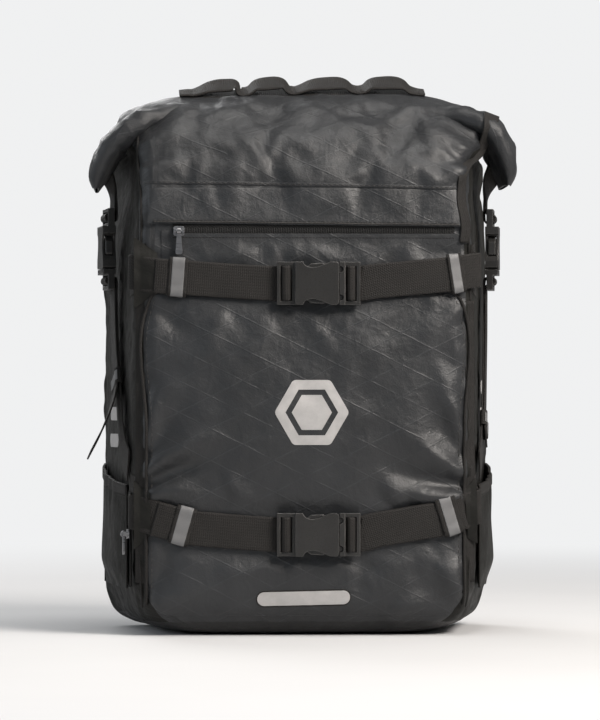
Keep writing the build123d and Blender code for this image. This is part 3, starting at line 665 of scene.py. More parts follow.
def inflate(piece, pinned, caps):
    """Lets the fabric swell under a little pressure and settle into its own wrinkles, with the
    pinned points held, and each point moved by no more than its cap in millimetres."""
    mesh = piece.data
    rest = np.array([v.co for v in mesh.vertices])
    group = piece.vertex_groups.new(name="held")
    for index, weight in enumerate(pinned):
        if weight > 0.01:
            group.add([index], float(weight), "REPLACE")
    cloth = piece.modifiers.new("cloth", "CLOTH")
    settings = cloth.settings
    settings.quality = 5
    settings.mass = 0.25
    settings.tension_stiffness = 22
    settings.compression_stiffness = 22
    settings.shear_stiffness = 12
    settings.bending_stiffness = 1.2
    settings.use_pressure = True
    settings.uniform_pressure_force = 1.2
    settings.effector_weights.gravity = 0
    settings.vertex_group_mass = "held"
    settings.shrink_min = -0.03
    cloth.collision_settings.use_collision = False
    cloth.point_cache.frame_start = 1
    cloth.point_cache.frame_end = 20
    for step in range(1, 21):
        bpy.context.scene.frame_set(step)
    settled = piece.evaluated_get(bpy.context.evaluated_depsgraph_get()).to_mesh()
    after = np.array([v.co for v in settled.vertices])
    piece.modifiers.remove(cloth)
    piece.vertex_groups.remove(group)
    bpy.context.scene.frame_set(1)
    moved = after - rest
    far = np.linalg.norm(moved, axis=1)[:, None]
    limit = caps[:, None] * MM
    moved *= np.tanh(far / limit) * limit / np.maximum(far, 1e-9)
    mesh.vertices.foreach_set("co", (rest + moved).astype(np.float32).ravel())
    mesh.update()


def keep_clear(points):
    """Holds the fabric behind the straps, the zip and the hardware that press on it."""
    x, y, h = points.T.copy()
    front = y < front_y + 40
    limit = np.full(len(points), -16.0)
    for height in strap_heights:
        limit = np.maximum(limit, -3.6 - smooth(13, 46, np.abs(h - height)) * 14)
    limit = np.where(np.abs(x) < 118, limit, np.maximum(limit, -1.2))
    y = np.where(front, np.maximum(y, front_y + limit), y)
    zip_band = smooth(15, 6, np.abs(h - zip_height - 0.5)) * smooth(122, 110, np.abs(x - 5)) * front
    y = y + (front_y - 0.1 - y) * zip_band
    y = np.minimum(y, back_y)
    inset = np.clip((back_y - y) / math.cos(side_lean), 0, None)
    reach = back_half - inset * math.sin(side_lean) + 0.25
    reach = reach + smooth(300, 330, h) * 8
    flank = (inset > 8) & (h > 20)
    x = np.where(flank, np.clip(x, -reach, reach), x)
    return np.column_stack([x, y, h])


def bag_fabric():
    """The whole bag as one lofted skin, from the base up over the roll."""
    points, coords = shell_points()
    rows, columns = points.shape[:2]
    faces = grid_faces(rows, columns, round_columns=True)
    faces.append(tuple(range(columns - 1, -1, -1)))
    flat = points.reshape(-1, 3)
    piece = make_piece("bag_fabric", flat, faces, LAMINATE, coords.reshape(-1, 2))
    piece.data.materials.append(SIDE_LAMINATE)
    piece.data.materials.append(BASE_LAMINATE)
    right_end = FRONT_COUNT + 2 * CORNER_COUNT + SIDE_COUNT - 1
    left_start = 2 * FRONT_COUNT + 2 * CORNER_COUNT + SIDE_COUNT
    indices = np.zeros(len(piece.data.polygons), int)
    for index in range(len(faces) - 1):
        row, column = divmod(index, columns)
        trim = CORNER_COUNT - 1 if points[row, column, 2] > 280 else 1
        on_right = FRONT_COUNT + trim <= column < right_end
        on_left = left_start <= column < columns - 1 - trim
        if on_right or on_left:
            indices[index] = 1
        if points[row, column, 2] < 8:
            indices[index] = 2
    indices[-1] = 2
    piece.data.polygons.foreach_set("material_index", indices)
    welded(piece, 0.35)
    x, y, h = skin_points(piece).T
    fixed = np.zeros(len(x))
    for height, reach in ((strap_heights[0], 9), (strap_heights[1], 9), (zip_height, 8)):
        near = np.exp(-(((h - height) / reach) ** 2))
        fixed = np.maximum(fixed, near * (y < front_y + 40))
    fixed = np.maximum(fixed, 1 - smooth(2, 14, h))
    fixed = np.maximum(fixed, smooth(384, 394, h))
    fixed = np.maximum(fixed, smooth(back_y - 14, back_y - 4, y) * 0.9)
    fixed = np.maximum(fixed, 0.6 * smooth(110, 124, np.abs(x)))
    tight = (y < front_y + 30) * smooth(335, 318, h)
    inflate(piece, fixed, 3.6 - 2.4 * tight)
    settled = metres(keep_clear(skin_points(piece)))
    piece.data.vertices.foreach_set("co", settled.astype(np.float32).ravel())
    return finished(piece, "SUBSURF", levels=1, render_levels=1)


def finished(piece, kind, **settings):
    """The piece with one modifier applied to its mesh."""
    modifier = piece.modifiers.new("shape", kind)
    for key, value in settings.items():
        setattr(modifier, key, value)
    bpy.context.view_layer.update()
    evaluated = piece.evaluated_get(bpy.context.evaluated_depsgraph_get())
    piece.data = bpy.data.meshes.new_from_object(evaluated)
    piece.modifiers.clear()
    return piece


# ---- finding the fabric's surface ------------------------------------------------------------
layers = []


def add_layer(piece):
    mesh = piece.data
    faces = [tuple(polygon.vertices) for polygon in mesh.polygons]
    layers.append(BVHTree.FromPolygons([v.co for v in mesh.vertices], faces))


def ray_y(x, h, trees=None):
    """The y of the foremost fabric at x and height h."""
    start = Vector((x * MM, -0.5, (bottom + h) * MM))
    found = [tree.ray_cast(start, Vector((0, 1, 0)))[0] for tree in (trees or layers)]
    return min([hit.y / MM for hit in found if hit and hit.y < -0.09], default=front_y)


def on_front(x, h, out):
    return (x, ray_y(x, h) - out, h)


def plane_point(hand, inset, h, out):
    """A point on a flat side panel: inset from the back edge, height, how far it stands out.
    hand is -1 on the left and 1 on the right."""
    return (
        hand * (back_half - inset * math.sin(side_lean) + out * math.cos(side_lean)),
        back_y - inset * math.cos(side_lean) - out * math.sin(side_lean),
        h,
    )


def side_normal(hand):
    return np.array((hand * math.cos(side_lean), -math.sin(side_lean), 0.0))


def placed(slot, body, *pieces):
    """Attaches pieces to the body that carries them; the material slot is not used."""
    for piece in pieces:
        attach(piece, body)


def extent(node):
    """A node's box in millimetres, with heights above the underside."""
    low, high = (np.array(tuple(corner)) / MM - (0, 0, bottom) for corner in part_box(node))
    return low, high


def on_side(hand, inset, h, out):
    """The same, lying on the fabric as it has settled."""
    reach = 60.0
    base = np.array(plane_point(hand, inset, h, 0.0))
    normal = side_normal(hand)
    start = Vector(metres(base + normal * reach)[0])
    depths = []
    for tree in layers:
        place, _, _, distance = tree.ray_cast(start, Vector(-normal), 0.09)
        if place:
            depths.append(distance / MM)
    return tuple(base + normal * (reach - min(depths, default=reach) + out))


def front_sheet(name, spots, lift, depth, material, sharp=50):
    """A thin solid lying on the front: a grid of (x, height), how far each stands off, thickness."""
    ground = np.array([[ray_y(x, h) for x, h in row] for row in spots])
    outer = np.stack([spots[..., 0], ground - lift, spots[..., 1]], axis=2)
    return sheet(name, outer, outer + np.array((0.0, 1.0, 0.0)) * depth, material, spots, sharp)


def patch(a, b, c, d, rows, columns):
    """A grid of points across four corners: bottom left, bottom right, top right, top left."""
    a, b, c, d = (np.asarray(p, float) for p in (a, b, c, d))
    v = np.linspace(0, 1, rows)[:, None, None]
    u = np.linspace(0, 1, columns)[None, :, None]
    return (a * (1 - u) + b * u) * (1 - v) + (d * (1 - u) + c * u) * v


def rounded_rows(low_x, high_x, low_h, high_h, radius, rows, columns, low_radius=None):
    """A grid of (x, height) over a rectangle with rounded top and bottom corners."""
    low_radius = radius if low_radius is None else low_radius
    turn = np.linspace(0, math.pi / 2, 7)
    bottom_rows = low_h + low_radius * (1 - np.cos(turn))
    top_rows = high_h - radius * (1 - np.cos(turn[::-1]))
    middle = np.linspace(bottom_rows[-1], top_rows[0], rows - 12)[1:-1]
    heights = np.concatenate([bottom_rows, middle, top_rows])
    below = np.clip(low_radius - (heights - low_h), 0, None)
    above = np.clip(radius - (high_h - heights), 0, None)
    cut = low_radius - np.sqrt(np.clip(low_radius**2 - below**2, 0, None))
    cut = cut + radius - np.sqrt(np.clip(radius**2 - above**2, 0, None))
    u = np.linspace(0, 1, columns)
    x = (low_x + cut)[:, None] * (1 - u) + (high_x - cut)[:, None] * u
    return np.stack([x, np.broadcast_to(heights[:, None], x.shape)], axis=2)


def smoothed(path, rounds):
    path = np.array(path, float)
    for _ in range(rounds):
        path[1:-1] = path[1:-1] * 0.5 + (path[:-2] + path[2:]) * 0.25
    return path


# ---- body and roll ---------------------------------------------------------------------------
bag = bag_fabric()
add_layer(bag)


def bend_with_roll(*made):
    for piece in made:
        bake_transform(piece)


def roll_end(name, knots):
    """One end of the roll: the fabric wound flat on itself, hanging down at the side."""
    path = curve(knots, 46)
    centres = path[:, :3]
    half_y, half_n = path[:, 3], path[:, 4]
    forward = np.array((0.0, 1.0, 0.0))
    normal = np.cross(directions(centres), forward)
    normal *= np.sign(normal[0, 2])
    turns = 2.6
    angle = np.linspace(0, 2 * math.pi * turns, int(44 * turns)) + 2.2
    shrink = (angle - angle[0]) / (2 * math.pi) * 2.5
    cos, sin = np.cos(angle), np.sin(angle)
    thick = 0.9
    outer, inner = [], []
    for k in range(len(centres)):
        for depth, rows in ((0.0, outer), (thick, inner)):
            wide = np.maximum(half_y[k] - shrink - depth, 2.0)
            tall = np.maximum(half_n[k] - shrink - depth, 0.8)
            along = wide * np.sign(cos) * np.abs(cos) ** 0.7
            up = tall * np.sign(sin) * np.abs(sin) ** 0.8
            rows.append(centres[k] + along[:, None] * forward + up[:, None] * normal[k])
    outer, inner = np.array(outer), np.array(inner)
    flat = outer.reshape(-1, 3)
    ripple = (crumple(flat, 24, 5) + 0.6 * crumple(flat, 11, 6)).reshape(outer.shape[:2])
    calm = 1 - smooth(0.72, 0.95, np.linspace(0, 1, len(centres)))[:, None]
    push = ((ripple - 0.8) * calm)[..., None] * 1.9 * normal[:, None, :]
    run = run_along(centres)
    coords = np.stack(np.broadcast_arrays(run[:, None], (angle * 26)[None, :]), axis=2)
    return sheet(name, outer + push, inner + push, LAMINATE, coords, 60)


left_end = roll_end(
    "roll_end_left",
    (
        (-70, -118, 380, 28, 8),
        (-96, -120, 379, 32, 10),
        (-117, -121, 374, 41, 11.5),
        (-132, -121, 364, 43, 11.5),
        (-142, -121, 352, 42, 10.5),
        (-148, -121, 341, 40, 9.5),
        (-151, -121, 331, 37, 7.0),
        (-151.5, -121, 325, 35, 3.2),
    ),
)
right_end = roll_end(
    "roll_end_right",
    (
        (70, -118, 380, 28, 8),
        (100, -119, 379, 31, 10),
        (122, -120, 376, 37, 11.5),
        (137, -120, 369, 41, 12),
        (146, -120, 357, 41, 11.5),
        (150, -120, 345, 39, 10),
        (151.5, -120, 336, 36, 7.5),
        (151, -120, 328, 34, 3.4),
    ),
)
for end in (left_end, right_end):
    add_layer(end)
placed("laminate", "roll_closure", left_end, right_end)
bend_with_roll(bag)
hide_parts("main_shell", "roll_top", "base_panel", "lip_stiffener")


def daisy_chain():
    """Looped webbing along the roll's top, sewn down between its humps."""
    y = middle_of("daisy_chain")[1]
    start_x, end_x = -90, 92
    base_path = [(x, y, roof(x) + 0.9) for x in np.linspace(start_x, end_x, 60)]
    across = (0, 0.95, 0.31)
    made = [band("daisy_base", smoothed(base_path, 4), across, webbing, web_thick, WEBBING)]
    feet = (-80, -42, -5, 43, 86)
    leans = (0.62, 0.46, 0.5, 0.42)
    peaks = (5.2, 5.8, 4.7, 5.6)
    path = [(start_x, 0.0), (-84, 0.1)]
    for start, end, lean, peak in zip(feet, feet[1:], leans, peaks):
        span = end - start
        path += [(start, 0.0), (start + span * 0.10, 1.0), (start + span * lean * 0.5, peak * 0.74)]
        path += [(start + span * lean, peak), (start + span * (lean * 0.4 + 0.6), peak * 0.82)]
        path += [(end - span * 0.1, 0.9)]
    path += [(feet[-1], 0.0), (end_x, 0.1)]
    loops = curve([(x, y, roof(x) + 2.4 + rise, rise) for x, rise in path], 190)
    tilt = smoothed(np.clip(loops[:, 3:] / 5, 0, 1), 90)
    tilted = np.hstack([np.zeros_like(tilt), 0.97 - 0.08 * tilt, 0.24 + 0.22 * tilt])
    made.append(band("daisy_loops", loops[:, :3], tilted, webbing - 1, 1.9, WEBBING))
    for index, x in enumerate(feet):
        for shift, letter in ((-1.6, "a"), (1.6, "b")):
            row = [(x + shift, y + w, roof(x) + 3.3 + w * 0.24) for w in np.linspace(-11, 11, 12)]
            made.append(stitches(f"daisy_bartack_{index}_{letter}", row, (0, 0, 1), 1.6, 0.5))
    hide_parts("daisy_chain")
    placed("webbing", "roll_closure", *made)


def middle_of(node):
    low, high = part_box(node)
    return ((low.x + high.x) / 2 / MM, (low.y + high.y) / 2 / MM, (low.z + high.z) / 2 / MM - bottom)


def roof(x):
    """The roll's height at x, under the middle of the daisy chain."""
    y = middle_of("daisy_chain")[1]
    start = Vector((x * MM, y * MM, (bottom + 450) * MM))
    hit = layers[0].ray_cast(start, Vector((0, 0, -1)))[0]
    return max(hit.z / MM - bottom, 388.0) if hit else 388.0


daisy_chain()


# ---- front panel -----------------------------------------------------------------------------
def front_pocket():
    """The flat front pocket, cinched at its seams, with a corded edge."""
    low, high = extent("front_pocket")
    half, foot, head = high[0], low[2], high[2]
    spots = rounded_rows(-half, half, foot, head, 14, 118, 118, 20)
    x, h = spots[..., 0], spots[..., 1]
    from_side = half - np.abs(x)
    from_end = np.minimum(h - foot, head - h)
    edge = np.minimum(from_side, from_end)
    ripple = np.sin(h / 3.1 + 2.0 * np.sin(h / 17.0)) * np.exp(-((from_side / 9) ** 2))
    ripple = ripple + np.sin(x / 3.4 + 2.0 * np.sin(x / 19.0)) * np.exp(-((from_end / 8) ** 2))
    lift = 0.35 + 1.75 * smooth(-0.5, 7, edge) + 0.38 * ripple * smooth(0, 4, edge)
    panel = front_sheet("front_pocket_panel", spots, lift, 0.9, LAMINATE)
    add_layer(panel)
    border = [(-half, 22), (-half, 60), (-half, 150), (-half, head - 14)]
    border += [(-half + 4, head - 4), (-half + 14, head), (-60, head)]
    border += [(0, head)] + [(-a, b) for a, b in reversed(border)]
    cord = smoothed([(a, ray_y(a * 0.985, b) - 0.1, b) for a, b in curve(border, 260)], 6)
    welt = tube("front_pocket_cord", cord, 1.15, BINDING)
    inner = curve([(a * 0.965, min(b, head - 4)) for a, b in border], 260)
    thread = smoothed([on_front(a, b, 0.05) for a, b in inner], 2)
    sewn = stitches("front_pocket_stitches", thread, (0, -1, 0))
    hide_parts("front_pocket")
    placed("laminate", "root", panel, welt, sewn)


def draped(node, follow):
    """A reflective shape from the frame, cut fine and laid over the fabric."""
    source = frame["nodes"][node]
    shape = bmesh.new()
    shape.from_mesh(source.data)
    shape.transform(source.matrix_world)
    bmesh.ops.remove_doubles(shape, verts=shape.verts, dist=0.00001)
    bmesh.ops.dissolve_limit(shape, angle_limit=0.01, verts=shape.verts, edges=shape.edges)
    bmesh.ops.triangulate(shape, faces=shape.faces)
    longest = 3.0 * MM
    for _ in range(6):
        long_edges = [e for e in shape.edges if e.calc_length() > longest]
        if not long_edges:
            break
        bmesh.ops.subdivide_edges(shape, edges=long_edges, cuts=1)
        bmesh.ops.triangulate(shape, faces=shape.faces)
    points = np.array([v.co for v in shape.verts]) / MM
    points[:, 2] -= bottom
    faces = [tuple(v.index for v in f.verts) for f in shape.faces]
    shape.free()
    film_thick = 0.3
    moved, coords = follow(points, film_thick)
    film = make_piece(node + "_film", moved, faces, MARK, coords, 40)
    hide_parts(node)
    placed("reflective", "root", film)


def from_lowest(values):
    """0 at the lowest value and 1 at the highest."""
    return (values - values.min()) / (values.max() - values.min())


def follow_front(points, thickness):
    raised = from_lowest(-points[:, 1])
    y = np.array([ray_y(x, h) for x, _, h in points]) - 0.05 - thickness * raised
    return np.column_stack([points[:, 0], y, points[:, 2]]), points[:, [0, 2]]


def front_marks():
    """A plain mark and a blank label on the pocket."""
    draped("front_mark", follow_front)
    low, high = extent("front_label")
    tilt = 0.02
    for name, grow, lift, material in (
        ("front_label_edge", 0.9, 0.35, BINDING),
        ("front_label_film", 0.0, 0.65, MARK),
    ):
        radius = (high[2] - low[2]) / 2 + grow - 0.1
        sizes = (low[0] - grow, high[0] + grow, low[2] - grow, high[2] + grow)
        spots = rounded_rows(*sizes, radius, 18, 60)
        spots[..., 1] += spots[..., 0] * tilt
        film = front_sheet(name, spots, lift, 0.5, material, 40)
        placed("reflective", "root", film)
    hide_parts("front_label")


def front_corner(heights):
    """How far right the fabric's front corner lies at each height."""
    skin = skin_points(bag)
    skin = skin[(skin[:, 0] > 90) & (skin[:, 1] < -105)]
    corners = []
    for h in heights:
        near = skin[np.abs(skin[:, 2] - h) < 3.0]
        corners.append(near[np.argmax(near @ (0.66, -0.75, 0.0)), 0])
    return np.array(corners)


def yoke_seam():
    """The folded seam across the front below the roll, with its stitching."""
    thick = 0.9
    line = curve(((-119, 327.5), (-60, 327), (0, 326), (60, 325), (119, 323.5)), 120)
    path = smoothed([on_front(x, h, 0.35) for x, h in line], 3)
    fold_band = band("yoke_seam", path, (0, 0, 1), 2.4, thick, LAMINATE)
    thread = path + np.array((0, -thick * 0.62, 0))
    return [fold_band, stitches("yoke_seam_stitches", thread, (0, -1, 0))]


def corner_binding():
    """The binding up the right front corner, where the gusset folds in under the roll."""
    heights = np.linspace(380, 284, 70)
    wanted = np.interp(heights, (284, 310, 338, 350, 362, 380), (115.5, 121, 126, 130, 135, 139))
    below = np.minimum(wanted, front_corner(heights) - 1.5)
    inside = smoothed(np.where(heights > 345, wanted, below)[:, None], 30)[:, 0]
    ground = np.array([ray_y(x, h) for x, h in zip(inside, heights)])
    touching = ground < -150
    ground = np.interp(-heights, -heights[touching], ground[touching])
    path = smoothed(np.column_stack([inside, ground - 1.0, heights]), 22)
    width = np.interp(path[:, 2], (284, 330, 342, 360, 380), (9, 7, 6.5, 10, 12))
    return band("corner_binding_right", path, (0.85, 0.5, 0.1), width, 1.2, BINDING)


# Where each front gusset's cord runs: distance from the middle, height.
GUSSET = ((117.5, 20), (119.5, 60), (120, 120), (120, 200), (119.5, 262), (118.5, 290))
GUSSET += ((119, 320), (121, 345), (121, 362))


def front_seams():
    """The seams and bindings of the front panel."""
    made = yoke_seam() + [corner_binding()]
    low, high = extent("edge_bindings")
    for hand, name in SIDES:
        top = 400 if hand < 0 else 300
        line = curve([(hand * x, h) for x, h in GUSSET if h < top], 150)
        path = smoothed([(x, ray_y(x, h) - 0.2, h) for x, h in line], 5)
        made.append(tube(f"gusset_cord_{name}", path, 1.0, BINDING))
        heights = np.linspace(low[2] - 52, high[2] + 6, 60)
        edge = smoothed([on_front(hand * 119.3, h, 0.45) for h in heights], 6)
        binding = band(f"edge_binding_{name}", edge, (hand * 0.93, 0.37, 0), 7.5, 1.1, BINDING)
        placed("dark_laminate", "root", binding)
    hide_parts("edge_bindings")
    bend_with_roll(*made)


def coil_piece(name, teeth):
    """A zip's coil from its teeth, each four rings of four points with their coordinates."""
    points, coords = zip(*teeth)
    faces = []
    for first in range(0, len(points), 16):
        faces += tube_faces(4, 4, first)
    return make_piece(name, points, faces, COIL, coords)


def zip_line():
    """The front zip's tape and coil."""
    low, high = extent("zip_tape")
    (left, face, foot), (right, _, head) = low, high
    spots = patch((left, foot), (right, foot), (right, head), (left, head), 8, 120)
    outer = np.stack([spots[..., 0], np.full(spots.shape[:2], face), spots[..., 1]], axis=2)
    tape = sheet("zip_tape_cloth", outer, outer + np.array((0, 0.7, 0)), ZIP_TAPE, spots)
    teeth = []
    middle = (foot + head) / 2 + 0.6
    for x in np.arange(left + 2, right - 2, 1.7):
        for end_h, end_y in ((-2.0, 0.10), (-0.9, -0.15), (0.9, -0.15), (2.0, 0.10)):
            for side_x, side_y in ((-0.55, 0.2), (0.55, 0.2), (0.4, -0.25), (-0.4, -0.25)):
                y = face + 0.15 + side_y * 0.7 + end_y * 0.3
                teeth.append(((x + side_x, y, middle + end_h), (x, end_h)))
    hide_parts("zip_tape")
    placed("zip_tape", "root", tape, coil_piece("zip_coil", teeth))
    zip_fold()
    zip_lip(left, right)


# ---- straps ----------------------------------------------------------------------------------
# The fold over the zip, from its top seam to its free edge: height, how far out.
FOLD = ((325, -0.3), (322, 0.35), (316, 0.7), (310, 1.1), (305, 1.7))
FOLD += ((300.5, 2.4), (297.2, 2.9), (296.0, 2.8), (296.2, 2.2))


def zip_fold():
    """The stitched fold of fabric that hangs over the zip."""
    low, high = extent("zip_flap")
    start, end = low[0] - 14, high[0] + 3
    rows = []
    for x in np.linspace(start, end, 130):
        sag = 1.7 * (1 - smooth(start, end, x)) - 0.12 + 0.1 * math.sin(x / 9.0)
        fade = min(smooth(start - 1, start + 16, x), smooth(end + 1, end - 10, x))
        row = []
        for height, out in FOLD:
            h = height + sag * (height < 312)
            over = 0.5 + 0.5 * fade if height < 308 else 1.0
            follow = smooth(300, 312, h)
            y = ray_y(x, h) * follow + (front_y - 0.5) * (1 - follow)
            row.append((x, y - out * over, h))
        rows.append(row)
    outer = np.array(rows)
    inner = outer + np.array((0, 0.6, 0.15))
    flap = sheet("zip_fold", outer, inner, LAMINATE, outer[..., [0, 2]], 70)
    edge = outer[2:-2, 6]
    thread = smoothed([(x, y - 0.25, h + 1.2) for x, y, h in edge], 2)
    sewn = stitches("zip_fold_stitches", thread, (0, -1, 0.3), 2.2, 1.2, 0.26)
    # A thin cord in lighter thread colour along the fold's lower edge: partly the stitched edge, partly a
    # painted highlight for the light line that edge shows.
    hem = tube("zip_fold_edge_highlight", smoothed(edge - np.array((0, 0.2, 0)), 2), 0.5, THREAD)
    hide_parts("zip_flap")
    placed("laminate", "root", flap, sewn, hem)


def zip_lip(left, right):
    """The panel's turned edge below the zip."""
    low, high = 258, 292.6
    left, right = left - 8, right + 5
    spots = patch((left, low), (right, low), (right, high), (left, high), 14, 110)
    ground = np.array([[ray_y(x, h, layers[:1]) for x, h in row] for row in spots])
    near = smooth(270, 283, spots[..., 1])
    ground = ground * (1 - near) + np.minimum(ground, front_y - 0.38) * near
    stations = (low, 262, 280, 288.6, 291.6, high)
    rise = np.interp(spots[:, 0, 1], stations, (-0.6, 0.3, 0.6, 0.85, 0.95, 0.5))
    outer = np.stack([spots[..., 0], ground - rise[:, None], spots[..., 1]], axis=2)
    lip = sheet("zip_lower_lip", outer, outer + np.array((0, 0.8, 0)), LAMINATE, spots, 60)
    placed("laminate", "root", lip)


def buckle_place(label):
    """Where a buckle sits: its middle, the way its plug leaves, and outwards."""
    half_buckle = 30.0
    low, high = extent(label + "_buckle_socket")
    if label in ("upper", "lower"):
        origin = np.array((low[0] + half_buckle, high[1], (low[2] + high[2]) / 2))
        return origin, np.array((1.0, 0, 0)), np.array((0, -1.0, 0))
    hand = -1 if label == "left" else 1
    origin = np.array(plane_point(hand, side_strap_inset, high[2] - half_buckle, 3.9))
    return origin, np.array((0, 0, -1.0)), side_normal(hand)


# The webbing's way, along the buckle and out from its back: behind the frame, up through the slot
# nearest the body, over the bar, down the outer slot, and back along itself.
LACING = {
    "socket": (
        *((-31, layer_back), (-24, layer_back), (-21.2, -0.5), (-20.35, 1.6), (-20.4, 5.0)),
        *((-21.4, 6.9), (-23.3, 7.5), (-25.2, 6.9), (-26.2, 5.0), (-26.25, 2.0)),
        *((-26.9, 0.7), (-29, 0.28), (-33, layer_front)),
    ),
    "plug": (
        *((31, layer_back), (24, layer_back), (21.5, -0.5), (20.75, 1.6), (20.8, 5.0)),
        *((21.7, 6.9), (23.4, 7.4), (25.0, 6.9), (25.9, 5.0), (25.95, 2.0)),
        *((26.7, 0.7), (29, 0.28), (33, layer_front)),
    ),
}


def laced(label, part):
    """The webbing's way through one end of a buckle, in the frame."""
    origin, way, out = buckle_place(label)
    return np.array([origin + way * along + out * rise for along, rise in LACING[part]])


def strap_rise(level, x):
    """How much higher a front strap runs at x than at its buckle."""
    stations, rises = (-126, -116, -84, -40, 0, 40, 98, 126), (16.5, 14.0, 5.0, 1.0, 0, 1.5, 11.5, 20.0)
    if level == "upper":
        stations, rises = (-126, -112, -40, 0, 40, 106, 126), (8.5, 6.0, 0.8, 0, 0.8, 7.2, 10.5)
    return float(np.interp(x, stations, rises))


def strap_front(x):
    """How far forward of the shell a front strap runs at x."""
    return float(np.interp(abs(x), (0, 88, 106, 114, 119.5), (7.4, 7.4, 6.2, 4.2, 1.9)))


def front_strap(level, hand, side):
    """A compression strap from the side of the bag to its buckle, with its tail doubled back."""
    height = middle_height(f"{level}_buckle_socket")
    end_h = height + strap_rise(level, hand * 126)
    far = [on_side(hand, 137, end_h + 1.5, 1.0), on_side(hand, 147, end_h + 0.8, 1.3)]
    far += [plane_point(hand, inset, end_h, out) for inset, out in ((156, 2.0), (162, 3.0))]
    for x in (119.5, 114, 106, 96, 84, 70, 56, 46):
        far.append((hand * x, front_y - strap_front(x), height + strap_rise(level, hand * x)))
    tail = []
    for x in (52, 62, 74, 86, 96, 103, 109) if hand < 0 else (50, 62, 74, 86, 98, 108, 115):
        out = strap_front(x) + (layer_front - layer_back) + 0.1 * math.sin(x)
        tail.append((hand * x, front_y - out, height + strap_rise(level, hand * x) * 0.96))
    lace = dense(laced(level, "socket" if hand < 0 else "plug"))
    path = settled_path(np.vstack([curve(far, 90), lace, curve(tail, 60)]))
    name = f"{level}_strap_{side}"
    strap = band(name + "_webbing", path, (0, 0, 1), webbing, slot_thick, WEBBING)
    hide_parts(name)
    if hand > 0:
        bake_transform(strap)
    else:
        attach(strap, "root")
    for shift, letter in ((-9.5, "a"), (9.5, "b")):
        row = [on_side(hand, u, end_h + 1 + shift, 1.95) for u in np.linspace(138, 150, 6)]
        sewing = stitches(f"{level}_{side}_sewing_{letter}", row, side_normal(hand), 2.0, 0.8)
        placed("webbing", "root", sewing)


def dense(points, step=0.45):
    """The same line with points no further apart than the step."""
    points = np.asarray(points, float)
    length = np.linalg.norm(np.diff(points, axis=0), axis=1).sum()
    return curve(points, max(8, int(length / step)))


def settled_path(path):
    """The path without doubled points, and lightly smoothed."""
    keep = [0]
    for index in range(1, len(path)):
        if np.linalg.norm(path[index] - path[keep[-1]]) > 0.3:
            keep.append(index)
    return smoothed(path[keep], 2)


def loop_keeper(name, centre, along, across, out, width, film, front=2.35):
    """An elastic keeper round both layers of a strap, with a reflective band across its front."""
    centre, along, across, out = (np.asarray(v, float) for v in (centre, along, across, out))
    back, half = 0.9, 13.7
    right = [(back, 0.5), (back, 8), (back, half - 0.8), (back - 0.8, half), (-front + 1, half)]
    right += [(-front, half - 0.8), (-front - 0.15, 5)]
    section = right + [(-front - 0.2, 0)] + [(deep, -wide) for deep, wide in reversed(right)]
    over = [(-front + 0.2, half + 0.55), (-front - 0.55, half - 0.6), (-front - 0.75, 5)]
    strip = over + [(-front - 0.8, 0)] + [(deep, -wide) for deep, wide in reversed(over)]
    made = []
    for suffix, outline, broad, thick, material in (
        ("", section, width, 0.9, BINDING),
        ("_film", strip, film, 0.35, KEEPER),
    ):
        path = np.array([centre - out * deep + across * wide for deep, wide in outline])
        made.append(band(name + suffix, dense(path, 1.0), along, broad, thick, material))
    placed("reflective", "root", *made)
    return made[0]


# The front straps' keepers: x, width, width of the film on it.
FRONT_KEEPERS = {
    "upper": ((-92.5, 13.5, 9.0), (109.0, 10.5, 7.0)),
    "lower": ((-89.0, 14.5, 9.5), (104.0, 15.0, 8.5)),
}


def front_keepers():
    for level, places in FRONT_KEEPERS.items():
        height = middle_height(f"{level}_buckle_socket")
        for (x, width, film), (_, side) in zip(places, SIDES):
            lean = math.atan2(strap_rise(level, x + 4) - strap_rise(level, x - 4), 8)
            fore = math.atan2(strap_front(x + 4) - strap_front(x - 4), 8)
            along = (math.cos(lean), -math.sin(fore), math.sin(lean))
            across = (-math.sin(lean), 0, math.cos(lean))
            centre = (x, front_y - strap_front(x), height + strap_rise(level, x))
            name = f"{level}_keeper_{side}"
            keeper = loop_keeper(name, centre, along, across, (0, -1, 0), width, film)
    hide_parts("strap_keepers")


SIDE_STRAP = ((82, 252), (82, 240), (86, 222), (95, 196), (106, 168), (116, 147), (130, 131), (148, 122))


def side_tail(hand):
    """The loose end of a side strap: it hangs away from the bag on the left, and is tucked in on
    the right."""
    knots = [(82.3, 244), (86, 224), (95, 198)]
    if hand < 0:
        knots += [(100, 186), (104, 172), (110, 150), (116, 130)]
        outs = (4.1, 4.2, 4.2, 4.2, 6.5, 15.0, 26.0)
    else:
        knots += [(104, 172), (113, 152), (119, 141)]
        outs = (4.1, 4.2, 4.2, 4.2, 4.3, 5.5)
    return curve([plane_point(hand, u, h, out) for (u, h), out in zip(knots, outs)], 60)


def widths_beside(steps, normal):
    """Which way a strap's width runs at each step along a panel with this normal."""
    return np.array([np.cross(normal, step / np.linalg.norm(step)) for step in steps])


